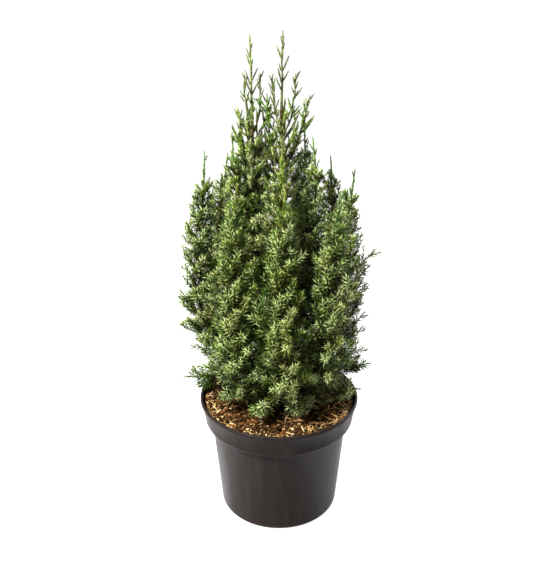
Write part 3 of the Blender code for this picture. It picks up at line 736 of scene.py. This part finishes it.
def sideStem(kind, node, limb, height, azimuth, keys, reach):
    path, radii = limb
    start = onLimb(path, height)
    angle = math.radians(crown["leavingAngle"][kind])
    bark = np.interp(height, path[:, 2], radii)
    second = start + polar(azimuth, math.sin(angle), math.cos(angle)) * (bark + crown["leaving"])
    addMass(kind, node, [start, second, *keys], crown["stemRadius"][kind], reach)


def planCrown(trunk, leader, material):
    c = crown
    for number, (tipRadius, tipHeight, waist) in enumerate(c["outerPlumes"]):
        azimuth = c["outerStart"] + number * c["outerStep"]
        places = (c["outerFoot"], c["outerElbow"], (waist, c["outerWaist"]), (tipRadius, tipHeight))
        stemFromBough("outer", number, trunk, [aboveSoil(azimuth, place) for place in places], material)
    for number, tip in enumerate(c["innerTips"]):
        azimuth = c["innerStart"] + number * c["innerStep"]
        onLeader = c["leaderSide"][0] < azimuth < c["leaderSide"][1]
        keys = [aboveSoil(azimuth, place) for place in (c["innerFoot"], c["innerElbow"], tip)]
        if onLeader:
            keys[0] = keys[0] + c["leaderShift"]
        stemFromBough("inner", number, leader if onLeader else trunk, keys, material)
    for number, tip in enumerate(c["skirtTips"]):
        azimuth = c["skirtStart"] + number * c["skirtStep"]
        keys = [aboveSoil(azimuth, place) for place in (c["skirtMiddle"], tip)]
        sideStem("skirt", f"foliage_skirt_{number + 1}", trunk, mulch["top"] + c["skirtHeight"], azimuth,
                 keys, c["reach"]["skirt"])
    for family, limb in (("trunk", trunk), ("leader", leader)):
        for name, (height, azimuth, length, lean, reach) in c[family + "Plumes"].items():
            start = onLimb(limb[0], mulch["top"] + height)
            tilt = math.radians(lean)
            rise = polar(azimuth, length * math.sin(tilt), length * math.cos(tilt))
            keys = [start + 0.5 * rise + polar(azimuth, c["sideBow"], 0.0), start + rise]
            sideStem("side", f"foliage_{family}_{name}", limb, mulch["top"] + height, azimuth, keys, reach)
    for side, (path, radii) in (("right", trunk), ("left", leader)):
        x, y, height, reach = c[side + "Spire"]
        heading = unit(path[-1] - path[-2])
        start = path[-1] + heading * gap
        tip = np.array([x, y, mulch["top"] + height])
        straight = heading * c["spireStraight"] * np.linalg.norm(tip - start)
        addMass("spire", f"{side}_spire", [start, start + straight, tip], radii[-1], reach)


def reachAt(mass, share):  # of the mass's space, at a share of its stem
    start, width, power = crown["shoulder"]
    end, taper = crown["closing"]
    rise = min(1.0, (share + start) / width) ** power
    return mass["reach"] * rise * max(0.0, end - share) ** taper * crown["swell"] + crown["leastReach"]


def spaceTables():  # every stem's samples with the reach at each, and the limbs
    shares = np.linspace(0, 1, crown["samples"])
    samples = np.concatenate([path for path, radii in limbs])
    tree = kdtree.KDTree(len(samples))
    for index, sample in enumerate(samples):
        tree.insert(sample, index)
    tree.balance()
    return {
        "stems": np.array([mass["stem"] for mass in masses]),
        "reaches": np.array([[reachAt(mass, share) for share in shares] for mass in masses]),
        "limbTree": tree,
        "girths": np.concatenate([radii for path, radii in limbs]),
    }


def clearPoints(points, space):  # true in the solids' box, over the pot and off the limbs
    overSoil = np.hypot(points[:, 0], points[:, 1]) < potShape["rim"] - growth["rimRoom"]
    lowest = np.where(overSoil, mulch["top"] + growth["soilRoom"], potShape["height"] + growth["potRoom"])
    fine = points[:, 2] > lowest
    fine &= (points > np.array(cadBox[0])).all(axis=1) & (points < np.array(cadBox[1])).all(axis=1)
    for index in np.flatnonzero(fine):
        found, distance = space["limbTree"].find(points[index])[1:]
        fine[index] = distance > space["girths"][found] + growth["limbMargin"]
    return fine


def insideSpace(number, points, space, furthest):
    # true where a point is in mass number's own space, with distances as shares of each mass's reach there
    gaps = np.linalg.norm(points[:, None, None, :] - space["stems"][None], axis=3)
    nearest = gaps.argmin(axis=2)
    reaches = space["reaches"][None].repeat(len(points), 0)
    measures = gaps.min(axis=2) / np.take_along_axis(reaches, nearest[:, :, None], 2)[:, :, 0]
    own = measures[:, number].copy()
    measures[:, number] = np.inf
    fine = (own < furthest) & (own + growth["margin"] < measures.min(axis=1))
    fine[fine] = clearPoints(points[fine], space)
    return fine


# Twigs by the seeded rule: round the stem by the golden angle, then finer twigs on those

growth = {
    "goldenAngle": math.radians(137.5),
    "seeds": {"fine": 5000, "shade": 9000, "tip": 13000},  # added to a mass's own
    "turnNoise": 0.2,
    "angle": (58.0, 32.0),  # degrees from the stem at its foot and tip, and the noise
    "angleNoise": 5.0,
    "share": (0.90, 1.05),  # of the reach
    "lastTwig": 0.90,
    "fineFirst": 0.6,  # finer twigs start lower, and are shorter
    "fineLength": (0.6, 1.15),
    "shrinks": (1.0, 0.85, 0.70, 0.56, 0.42, 0.30),
    "furthest": 0.86,
    "reaching": 0.16,  # share of the twigs that may pass that, up to this much
    "reachingTo": 0.98,
    "margin": -0.30,  # below zero, so neighbouring plumes mingle
    "limbMargin": 0.0004,
    "rimRoom": 0.011,  # room at the rim, over the compost and over the pot
    "soilRoom": 0.0045,
    "potRoom": 0.003,
    "twigStep": {"outer": 0.0054, "inner": 0.0062, "skirt": 0.0078, "side": 0.0072, "spire": 0.0125},
    "lift": {"outer": 0.42, "inner": 0.42, "skirt": 0.30, "side": 0.22, "spire": 0.10, "tuft": 0.20},
    "narrow": {"side": 0.85, "spire": 0.60, "tuft": 0.90},  # of the twigs' angles from their stem
    "longer": {"side": 0.85, "spire": 1.30},  # of the twigs' lengths
    "slimTop": 0.60,  # share of a plume's stem above which its twigs get shorter
    "slimming": 2.5,
    "slimmest": 0.1,
    "sideSlimming": 0.62,
    "shortest": 0.006,
    "tipTwigs": {"outer": 7, "inner": 7, "side": 3},  # short ones along a plume's thin tip
    "tipPlace": (0.76, 0.97),
    "tipLength": (0.014, 0.007),
    "tipAngle": (22.0, 32.0),
    "shadeKinds": ("outer", "inner", "skirt"),
    "shadeStep": 0.0040,  # along a stem, between the short inner twigs that carry old brown or painted-shade needles
    "shadePlace": (0.03, 0.82),  # the first, and how far on they go
    "shadeLength": (0.40, 0.62),  # of the reach there
    "shadeAngle": (45.0, 75.0),
    "lowLift": 0.1,  # of the tip and shade twigs
    "sidePart": 0.78,  # of a twig bears side twigs
    "sidePlace": (0.22, 0.71),  # the first, and how far on they go
    "sideStep": {"outer": 0.0082, "inner": 0.0090, "skirt": 0.0110, "side": 0.0125, "spire": 0.0240,
                 "tuft": 0.0090},
    "sideTurnNoise": 0.5,
    "sideAngle": (50.0, 36.0),
    "sideAngleNoise": 6.0,
    "sideShare": (0.66, 0.30),  # side twig's length over its twig's, at the foot and the tip
    "sideLengths": (0.75, 1.1),
    "sideLimits": (0.011, 0.034),
}
tufts = {
    "trunk": (0.200, 0.578),  # heights between which a leader's bark bears sprays
    "leader": (0.262, 0.566),
    "step": (0.0042, 0.0052),  # low down, and at the top
    "steps": (0.7, 1.3),
    "turnNoise": 20.0,
    "angle": 40.0,
    "angleNoise": 8.0,
    "length": (0.056, 0.034),
    "lengths": (0.7, 1.1),
    "cladStart": {"trunk": 0.572, "leader": 0.558},  # small needles are pressed on the bark above this
    "cladShare": 0.62,
}
strays = {  # twigs that stand out: share of the plume's stem, and tip
    "foliage_outer_1": ((0.56, (0.126, -0.020, 0.413)), (0.50, (0.120, -0.024, 0.392)),
                        (0.44, (0.112, -0.026, 0.370))),
    "foliage_outer_6": ((0.36, (-0.134, -0.020, 0.336)), (0.28, (-0.134, -0.026, 0.306)),
                        (0.58, (-0.118, -0.030, 0.452))),
    "foliage_outer_8": ((0.62, (0.012, -0.086, 0.482)), (0.34, (-0.030, -0.100, 0.372))),
    "foliage_outer_7": ((0.40, (-0.088, -0.088, 0.390)),),
    "foliage_outer_9": ((0.46, (0.098, -0.092, 0.396)),),
}


def between(pair, share):
    return pair[0] + share * (pair[1] - pair[0])


def jitter(rng, most):
    return rng.uniform(-most, most)


def levelTo(heading):  # a level direction across a heading
    return unit(np.cross(heading, up) if abs(heading[2]) < 0.95 else np.array([1.0, 0.0, 0.0]))


def leaving(heading, side, over, turn, angle):
    return math.cos(angle) * heading + math.sin(angle) * (math.cos(turn) * side + math.sin(turn) * over)


def twigPlan(seed, twigs, first):  # place on the stem, turn, angle and share of the reach
    rng = random.Random(seed)
    for number in range(twigs):
        place = first + (growth["lastTwig"] - first) * (number + 0.5) / twigs
        turn = number * growth["goldenAngle"] + jitter(rng, growth["turnNoise"])
        angle = math.radians(between(growth["angle"], place) + jitter(rng, growth["angleNoise"]))
        yield place, turn, angle, rng.uniform(*growth["share"])


def stemFrame(mass, share):
    point, heading = pointAt(mass["stem"], share)
    lean = mass["stem"][-1] - mass["stem"][0]
    leans = math.hypot(lean[0], lean[1]) > 0.004
    side = np.array([-lean[1], lean[0], 0.0]) if leans else np.array([0.0, 1.0, 0.0])
    side = unit(side - np.dot(side, heading) * heading)
    return point, heading, side, np.cross(heading, side)


def twigStarts(mass, plans):  # root, direction and length of each planned twig
    starts = []
    for place, turn, angle, length in plans:
        root, *axes = stemFrame(mass, place)
        starts.append((root, leaving(*axes, turn, angle), length))
    return starts


def fitTwigs(number, starts, lift, space, furthest=None, **marks):
    # each twig at its greatest length that stays inside; one that never fits is left out
    if not starts:
        return []
    roots, directions, lengths = (np.array(values) for values in zip(*starts))
    best = np.full(len(roots), -1.0)
    paths = np.zeros((len(roots), 5, 3))
    shares = np.linspace(0, 1, 5)[None, :, None]
    for shrink in growth["shrinks"]:
        left = np.flatnonzero(best < 0)
        if len(left) == 0:
            break
        spans = lengths[left] * shrink
        tried = roots[left][:, None] + spans[:, None, None] * (shares * directions[left][:, None]
                                                               + lift * shares**2 * up)
        places = tried[:, 2:].reshape(-1, 3)
        if number is None:
            inside = clearPoints(places, space)
        else:
            limits = growth["furthest"] if furthest is None else np.repeat(furthest[left], 3)
            inside = insideSpace(number, places, space, limits)
        inside = inside.reshape(-1, 3).all(axis=1) & (spans > growth["shortest"])
        paths[left[inside]] = tried[inside]
        best[left[inside]] = spans[inside]
    return [{"path": paths[start], "length": best[start], "start": start, **marks}
            for start in np.flatnonzero(best > 0)]


def growMass(number, space):
    mass, g = masses[number], growth
    kind, first = mass["kind"], mass["first"]
    rng = random.Random(mass["seed"] + g["seeds"]["fine"])
    extra = max(6, round(pathLength(mass["stem"]) * (1 - first) / g["twigStep"][kind]))
    plain = [*twigPlan(mass["seed"], mass["twigs"], first),
             *twigPlan(mass["seed"] + g["seeds"]["fine"], extra, first * g["fineFirst"])]
    plans = []
    for index, (place, turn, angle, share) in enumerate(plain):
        length = share * reachAt(mass, place) / math.sin(angle)
        if kind in ("outer", "inner"):
            length *= max(g["slimmest"], 1 - g["slimming"] * max(0.0, place - g["slimTop"]))
        if kind in ("side", "spire"):
            length *= 1 - g["sideSlimming"] * place
        if index >= mass["twigs"]:
            length *= rng.uniform(*g["fineLength"])
        plans.append((place, turn, angle * g["narrow"].get(kind, 1.0), length * g["longer"].get(kind, 1.0)))
    twigs = withSideTwigs(number, kind, twigStarts(mass, plans), rng, space)
    return twigs + shadeTwigs(number, space) + tipTwigs(number, space)


def withSideTwigs(number, kind, starts, rng, space):
    g = growth
    furthest = [g["reachingTo"] if rng.random() < g["reaching"] else g["furthest"] for start in starts]
    twigs = fitTwigs(number, starts, g["lift"][kind], space, np.array(furthest), level=1)
    starts, parents = [], []
    for index, twig in enumerate(twigs):
        count = int(twig["length"] * g["sidePart"] / g["sideStep"][kind])
        for step in range(count):
            share = g["sidePlace"][0] + g["sidePlace"][1] * (step + 0.5) / count
            root, heading = pointAt(twig["path"], share)
            level = levelTo(heading)
            turn = step * g["goldenAngle"] + jitter(rng, g["sideTurnNoise"])
            angle = math.radians(between(g["sideAngle"], share) + jitter(rng, g["sideAngleNoise"]))
            angle *= g["narrow"].get(kind, 1.0)
            length = twig["length"] * between(g["sideShare"], share) * rng.uniform(*g["sideLengths"])
            length = min(g["sideLimits"][1], max(g["sideLimits"][0], length))
            starts.append((root, leaving(heading, level, np.cross(level, heading), turn, angle), length))
            parents.append(index)
    finer = fitTwigs(number, starts, 0.5 * g["lift"][kind], space, level=2)
    for twig in finer:
        twig["parent"] = parents[twig["start"]]
    return twigs + finer


def tipTwigs(number, space):  # short ones, close to a plume's thin tip
    mass = masses[number]
    rng = random.Random(mass["seed"] + growth["seeds"]["tip"])
    count = growth["tipTwigs"].get(mass["kind"], 0)
    plans = []
    for index in range(count):
        share = (index + rng.random()) / count
        angle = math.radians(rng.uniform(*growth["tipAngle"]))
        length = between(growth["tipLength"], share) * rng.uniform(0.8, 1.2)
        plans.append((between(growth["tipPlace"], share), index * growth["goldenAngle"], angle, length))
    return fitTwigs(None, twigStarts(mass, plans), growth["lowLift"], space, level=2, tip=True)


def shadeTwigs(number, space):  # short twigs close round the stem, with old brown needles or near-black green ones that are painted shade
    mass = masses[number]
    rng = random.Random(mass["seed"] + growth["seeds"]["shade"])
    shaded = mass["kind"] in growth["shadeKinds"]
    count = int(pathLength(mass["stem"]) / growth["shadeStep"]) if shaded else 0
    plans = []
    for index in range(count):
        place = growth["shadePlace"][0] + growth["shadePlace"][1] * (index + rng.random()) / count
        angle = math.radians(rng.uniform(*growth["shadeAngle"]))
        length = reachAt(mass, place) * rng.uniform(*growth["shadeLength"])
        plans.append((place, index * growth["goldenAngle"], angle, length))
    return fitTwigs(number, twigStarts(mass, plans), growth["lowLift"], space, level=1, old=True)


def growStrays(space, rng):  # each with its own mass's kind and node
    grown = []
    lift = growth["lift"]["skirt"]
    for node, twigs in strays.items():
        mass = next(mass for mass in masses if mass["node"] == node)
        for share, tip in twigs:
            root = pointAt(mass["stem"], share)[0]
            span = np.array(tip) - root
            length = np.linalg.norm(span)
            for _ in range(6):  # until the lifted twig ends at its tip
                length = np.linalg.norm(span - lift * length * up)
            starts = [(root, unit(span - lift * length * up), length)]
            grown.append((mass["kind"], node, withSideTwigs(None, "skirt", starts, rng, space)))
    return grown


def growTufts(limb, family, rng, space):  # sprays straight from a leader's bark
    (path, radii), t = limb, tufts
    start, top = t[family]
    height = start
    starts = []
    while height < top:
        share = (height - start) / (top - start)
        azimuth = math.degrees(len(starts) * growth["goldenAngle"]) + jitter(rng, t["turnNoise"])
        angle = math.radians(t["angle"] + jitter(rng, t["angleNoise"]))
        bark = np.interp(height, path[:, 2], radii)
        starts.append((onLimb(path, height) + polar(azimuth, bark + 0.001, 0.0),
                       polar(azimuth, math.sin(angle), math.cos(angle)),
                       between(t["length"], share) * rng.uniform(*t["lengths"])))
        height += between(t["step"], share) * rng.uniform(*t["steps"])
    twigs = withSideTwigs(None, "tuft", starts, rng, space)
    clad = path[:, 2] > t["cladStart"][family]
    length = pathLength(path[clad])
    return twigs + [{"path": path[clad], "length": length, "level": 1, "girths": radii[clad]}]


# Needles: whorls of three along every twig, long and spreading low down, short and pressed on at the top

needleShape = {
    "length": (0.0045, 0.0116),  # at the top of the crown, and low down
    "lengths": (0.82, 1.12),
    "width": 0.0017,
    "widths": (0.85, 1.1),
    "thick": 0.42,  # thickness over width
    "widest": 0.30,  # share of the length where it is widest
    "curl": 0.05,  # of the length, forward at the point
    "spread": (23.0, 52.0),  # degrees from the twig
    "spreadNoise": 4.0,
    "turnNoise": 0.14,
    "step": (0.0013, 0.0024),  # between whorls
    "old": (0.605, 0.440),  # heights where needles are all short, and all long
    "scaly": {"skirt": -0.22},  # one where needles are short and pressed on, below zero where longer
    "scalyPart": 0.8,
    "tipStart": 0.80,  # of a plume's stem, where its thin tip starts
    "tipPower": 0.6,
    "bare": {0: 0.30, 1: 0.22, 2: 0.04},  # share of a stem, twig and side twig that is bare
    "dead": 0.36,  # share of a stem or twig whose needles are old and brown
    "shade": 0.6,  # share of the inner twigs whose needles are the near-black green of painted shade, not brown
    "clad": ("side", "spire"),  # kinds of mass whose twigs have no bare wood
    "closing": 0.008,  # needles lean forward over this much of a twig's end
    "closed": 0.55,  # of the spread lost there, and of the length
    "shorter": 0.25,
    "fresh": (0.10, 0.74),  # share of young whorls, at a twig's foot and tip
    "palePart": (0.18, 0.56),  # of pale colour in the upper faces, older and young: the pale stomatal bands, made paler still as a painted highlight in place of gloss
    "paleOld": 0.05,  # and of old and shaded ones
    "paleColour": (screenColour(200, 208, 104), screenColour(216, 222, 156)),
    "pieceTriangles": 190000,
    "seed": 77,
}
needleTints = {  # colours of a spray's older and young needles; the older are darker partly as painted shade, since they sit more towards the twigs' feet inside the sprays
    "green": (screenColour(42, 80, 4), screenColour(92, 134, 34)),
    "deep": (screenColour(36, 62, 10), screenColour(78, 109, 36)),
    "yellow": (screenColour(70, 92, 6), screenColour(122, 146, 36)),
    "blue": (screenColour(44, 76, 30), screenColour(96, 131, 72)),
    "olive": (screenColour(64, 70, 6), screenColour(112, 118, 34)),
    "grey": (screenColour(66, 78, 40), screenColour(106, 118, 68)),
}
# dead is the brown of old needles; shade is a near-black green that is painted shade for the inner twigs
oldAndShadeTints = {"dead": screenColour(46, 42, 8), "shade": screenColour(26, 46, 2)}
tintShares = {  # of a mass's sprays, by its node or its kind, in that order
    "foliage_outer_8": (0.36, 0.18, 0.28, 0.06, 0.12, 0.0),
    "foliage_inner_4": (0.30, 0.18, 0.36, 0.02, 0.14, 0.0),
    # plumes outer_9 and outer_1 on the right get more of the dark deep tint, painted shade on the side away
    # from the key light
    "foliage_outer_9": (0.34, 0.40, 0.10, 0.14, 0.02, 0.0),
    "foliage_outer_1": (0.34, 0.38, 0.14, 0.12, 0.02, 0.0),
    "foliage_outer_6": (0.50, 0.14, 0.18, 0.16, 0.02, 0.0),
    "outer": (0.42, 0.22, 0.18, 0.12, 0.06, 0.0),
    "inner": (0.40, 0.24, 0.24, 0.04, 0.08, 0.0),
    "skirt": (0.42, 0.06, 0.05, 0.46, 0.01, 0.0),
    "side": (0.12, 0.10, 0.10, 0.0, 0.10, 0.58),
    "spire": (0.0, 0.0, 0.04, 0.0, 0.06, 0.90),
    "tuft": (0.34, 0.30, 0.12, 0.04, 0.08, 0.12),
}
twigLook = (  # radii at foot and tip, and sides: stem, twig, side twig
    (0.0017, 0.0006, 6),
    (0.0009, 0.0004, 5),
    (0.0005, 0.0003, 3),
)


def tubeArrays(path, radii, sides):  # a tapering tube with a closed foot and a pointed tip
    headings = units(np.gradient(path, axis=0))
    side = levelTo(unit(path[-1] - path[0]))
    sideways = units(side - (headings @ side)[:, None] * headings)
    over = np.cross(headings, sideways)
    turns = np.arange(sides) * 2 * math.pi / sides
    rings = (path[:, None] + radii[:, None, None] * (np.cos(turns)[None, :, None] * sideways[:, None]
                                                      + np.sin(turns)[None, :, None] * over[:, None]))
    tip = path[-1] + headings[-1] * radii[-1] * 2
    points = np.concatenate([rings.reshape(-1, 3), path[:1], tip[None]])
    faces = []
    last = (len(path) - 1) * sides
    for side in range(sides):
        after = (side + 1) % sides
        faces += [(len(points) - 2, after, side), (len(points) - 1, last + side, last + after)]
        for ring in range(len(path) - 1):
            a, b = ring * sides + side, ring * sides + after
            faces += [(a, b, b + sides), (a, b + sides, a + sides)]
    return points, np.array(faces)


def youthAt(heights):  # nought where needles are all short, one where all long
    old, young = needleShape["old"]
    return np.clip((old - heights) / (old - young), 0, 1)


def whorlsAlong(path, length, bare, rng):  # centres, headings and shares of the whorls on one path
    step = between(needleShape["step"], youthAt(path[-1][2]))
    count = max(2, int(length * (1 - bare) / step))
    shares = bare + (1 - bare) * (np.arange(count) + rng.uniform(0.2, 0.8)) / count
    places = shares * (len(path) - 1)
    first = np.minimum(places.astype(int), len(path) - 2)
    steps = path[first + 1] - path[first]
    centres = path[first] + steps * (places - first)[:, None]
    return centres, units(steps), shares


def needleArrays(centres, headings, ends, phases, scaly, girths, rng):
    # three needles to a whorl, each a slim kite over a keel that runs from its foot to its tip
    n, count = needleShape, len(centres)
    level = np.cross(headings, up)
    level[np.linalg.norm(level, axis=1) < 0.05] = (1.0, 0.0, 0.0)
    level = units(level)
    over = np.cross(level, headings)
    youth = youthAt(centres[:, 2]) * (1 - n["scalyPart"] * scaly)
    closing = np.clip(1 - ends / n["closing"], 0, 1)
    points = []
    for index in range(3):
        turn = phases + index * 2 * math.pi / 3 + rng.uniform(-n["turnNoise"], n["turnNoise"], count)
        outward = np.cos(turn)[:, None] * level + np.sin(turn)[:, None] * over
        spread = between(n["spread"], youth) * (1 - n["closed"] * closing)
        spread = np.radians(spread + rng.normal(0, n["spreadNoise"], count))
        along = np.cos(spread)[:, None] * headings + np.sin(spread)[:, None] * outward
        length = between(n["length"], youth) * rng.uniform(*n["lengths"], count)
        length *= 1 - n["shorter"] * closing
        width = n["width"] * rng.uniform(*n["widths"], count)
        across = units(np.cross(along, outward))
        foot = centres + outward * girths[:, None]
        middle = foot + along * (n["widest"] * length)[:, None]
        middle += np.cross(along, across) * (n["thick"] * width)[:, None]
        half = across * (0.5 * width)[:, None]
        tip = foot + along * length[:, None] + headings * (n["curl"] * length)[:, None]
        points.append(np.stack([foot, middle + half, middle - half, tip], axis=1))
    return np.stack(points, axis=1)


def growCrown(rng):  # kind, node and twigs of every mass, stray and leader
    space = spaceTables()
    grown = []
    for number, mass in enumerate(masses):
        path = mass["stem"]
        stem = {"path": path, "length": pathLength(path), "radius": mass["radius"], "level": 0}
        grown.append((mass["kind"], mass["node"], [*growMass(number, space), stem]))
    grown += growStrays(space, rng)
    grown.append(("tuft", "trunk", growTufts(trunk, "trunk", rng, space)))
    grown.append(("tuft", "left_leader", growTufts(leader, "leader", rng, space)))
    return grown


def addTwigs(tubes, nodes):
    looks = ("brown", twigBark, "juniper_bark"), ("green", twigGreen, "juniper_needles")
    for kind, material, slotName in looks:
        points, triangles = zip(*tubes[kind])
        offsets = np.cumsum([0] + [len(part) for part in points])
        triangles = np.concatenate([part + offset for part, offset in zip(triangles, offsets)])
        mesh = arrayMesh(f"twigs_{kind}", np.concatenate(points), triangles)
        addPiece(f"twigs_{kind}", mesh, material, slotName, nodes)
        print("twigs", kind, len(points), "of", len(triangles), "triangles")


def addNeedles(whorls, nodes, numbers):
    faces = np.array([(0, 1, 3), (0, 3, 2), (0, 2, 1), (3, 1, 2)])  # two at the keel, then the upper two
    most = needleShape["pieceTriangles"] // len(faces)
    total = 0
    for (name, young), parts in whorls.items():
        columns = [np.concatenate(column) for column in zip(*parts)]
        shapes = needleArrays(*columns, numbers).reshape(-1, 4, 3)
        # old brown needles and painted-shade needles keep one plain colour with little pale
        old = name in oldAndShadeTints
        colour = oldAndShadeTints[name] if old else needleTints[name][young]
        # the upper faces mix in the pale colour: stomatal bands, partly a painted highlight
        share = needleShape["paleOld"] if old else needleShape["palePart"][young]
        pale = tuple(between(pair, share) for pair in zip(colour, needleShape["paleColour"][young]))
        material = needleMaterial(f"needles {name} {young}", colour)
        paleMaterial = needleMaterial(f"needles {name} {young} upper", pale)
        for part, start in enumerate(range(0, len(shapes), most)):
            some = shapes[start:start + most]
            triangles = (faces[None] + 4 * np.arange(len(some))[:, None, None]).reshape(-1, 3)
            title = f"needles_{name}_{'tips' if young else 'inner'}_{part + 1}"
            piece = addPiece(title, arrayMesh(title, some.reshape(-1, 3), triangles), material,
                             "juniper_needles", nodes)
            piece.data.materials.append(paleMaterial)
            piece.data.polygons.foreach_set("material_index", np.tile([0, 0, 1, 1], len(some)))
            total += len(triangles)
    print("needles made,", total // len(faces), "of", total, "triangles")


def makeFoliage():
    n = needleShape
    rng, numbers = random.Random(n["seed"]), np.random.default_rng(n["seed"])
    names = list(needleTints)
    tubes = {"brown": [], "green": []}
    whorls = {(name, young): [] for name in names for young in (0, 1)} | {("dead", 0): [], ("shade", 0): []}
    for kind, node, twigs in growCrown(rng):
        tints = {}
        for index, twig in enumerate(twigs):
            if "parent" in twig:
                tint = tints[twig["parent"]]
            else:
                tint = tints[index] = rng.choices(names, tintShares.get(node, tintShares[kind]))[0]
            level = twig["level"]
            foot, tip, sides = twigLook[level]
            onBark, old = "girths" in twig, "old" in twig
            clad = kind in n["clad"] and not (kind == "side" and level == 0)
            if not onBark:
                radii = np.linspace(twig.get("radius", foot), tip, len(twig["path"]))
                tube = tubeArrays(twig["path"], radii, sides)
                tubes["green" if level == 2 or clad else "brown"].append(tube)
            bare = 0.0 if onBark or clad else n["bare"][level]
            centres, headings, shares = whorlsAlong(twig["path"], twig["length"], bare, rng)
            phases = np.arange(len(centres)) * math.pi / 3 + rng.uniform(0, 2 * math.pi)
            # whorls that are not young take the darker older tint, partly painted shade deep in the sprays
            young = (numbers.random(len(shares)) < between(n["fresh"], shares)) & (not old)
            # on old twigs every whorl takes the brown tint or the painted-shade tint
            dead = shares < (1.0 if old else n["dead"] if level < 2 and bare > 0 else 0.0)
            scaly = np.full(len(shares), 1.0 if onBark or "tip" in twig else n["scaly"].get(kind, 0.0))
            if level == 0:
                scaly = np.clip((shares - n["tipStart"]) / (1 - n["tipStart"]), 0, 1) ** n["tipPower"]
            girths = np.full(len(shares), 0.0002)
            shown = np.ones(len(shares), bool)
            if onBark:
                girths = np.interp(shares, np.linspace(0, 1, len(twig["girths"])), twig["girths"]) * 0.9
                shown = numbers.random(len(shares)) < tufts["cladShare"]
            # an old twig's needles are brown, or the near-black green of painted shade
            oldOrShadeTint = "shade" if old and rng.random() < n["shade"] else "dead"
            columns = (centres, headings, (1 - shares) * twig["length"], phases, scaly, girths)
            for key, chosen in (((tint, 0), ~young & ~dead), ((tint, 1), young & ~dead), ((oldOrShadeTint, 0), dead)):
                if (chosen & shown).any():
                    whorls[key].append([column[chosen & shown] for column in columns])
    nodes = [mass["node"] for mass in masses]
    addTwigs(tubes, nodes)
    addNeedles(whorls, nodes, numbers)


# Floor, world and lights

studio = {
    "floorSize": 30.0,
    "backdropRadius": 14.0,
    "floorColour": 0.35,
    "floorGlow": 0.975,
    "world": 0.185,
    "key": {"place": (-1.02, -0.92, 1.75), "aim": 0.35, "size": 0.34, "power": 109.0},
    "fill": {"place": (1.3, -0.9, 0.9), "aim": 0.35, "size": 1.2, "power": 2.0},
    "back": {"place": (1.0, 1.5, 1.3), "aim": 0.35, "size": 0.9, "power": 48.0},
}


def glowingStage(name, bm, white):  # white to look at, but it gives no diffuse light
    stage = linked(name, meshOf(name, bm))
    material, shader = newMaterial(f"white {name}", 0.8, 0.2)
    setInputs(shader, {"Base Color": (white, white, white, 1.0), "Emission Color": (1.0, 1.0, 1.0, 1.0),
                       "Emission Strength": studio["floorGlow"]})
    stage.data.materials.append(material)
    stage.visible_diffuse = False
    return stage


def makeStudio():
    bm = bmesh.new()
    bmesh.ops.create_grid(bm, x_segments=1, y_segments=1, size=studio["floorSize"])
    bmesh.ops.translate(bm, verts=bm.verts, vec=(0.0, 0.0, -0.0002))
    glowingStage("floor", bm, studio["floorColour"])
    bm = bmesh.new()
    bmesh.ops.create_icosphere(bm, subdivisions=3, radius=studio["backdropRadius"])
    backdrop = glowingStage("backdrop", bm, 0.0)
    backdrop.visible_glossy = False
    backdrop.visible_shadow = False
    world = bpy.data.worlds.new("studio")
    world.use_nodes = True
    setInputs(world.node_tree.nodes["Background"],
              {"Color": (1.0, 1.0, 1.0, 1.0), "Strength": studio["world"]})
    bpy.context.scene.world = world
    for name in ("key", "fill", "back"):  # aimed at the middle of the plant
        light = bpy.data.lights.new(name, "AREA")
        light.size = studio[name]["size"]
        light.energy = studio[name]["power"]
        lamp = linked(name, light)
        lamp.location = studio[name]["place"]
        aim = Vector((0.0, 0.0, studio[name]["aim"])) - lamp.location
        lamp.rotation_euler = aim.to_track_quat("-Z", "Y").to_euler()
    bpy.context.scene.view_settings.view_transform = "Standard"


makeCamera()
makeStudio()
makePot(plasticMaterial())
makeSoil(woodyMaterial("compost", screenColour(34, 18, 5), screenColour(74, 46, 20), (1.0, 1.0, 1.0),
                       380.0, 0.001))
makeMulch()
bark = woodyMaterial("juniper bark", screenColour(44, 28, 20), screenColour(116, 80, 58),
                     (900.0, 900.0, 60.0), 1.0, 0.0006)
twigBark = woodyMaterial("twig bark", screenColour(42, 36, 14), screenColour(80, 66, 32),
                         (1.0, 1.0, 1.0), 700.0, 0.0002)
twigGreen = needleMaterial("green twigs", screenColour(100, 112, 56))
trunk = trunkLine()
leader = leaderLine(trunk[0])
barkLimb("bark_trunk", "trunk", *trunk, bark, roots=True)
keepLimb(*trunk)
barkLimb("bark_left_leader", "left_leader", *leader, bark)
keepLimb(*leader)
planCrown(trunk, leader, bark)
print("limbs made,", len(limbs))
makeFoliage()
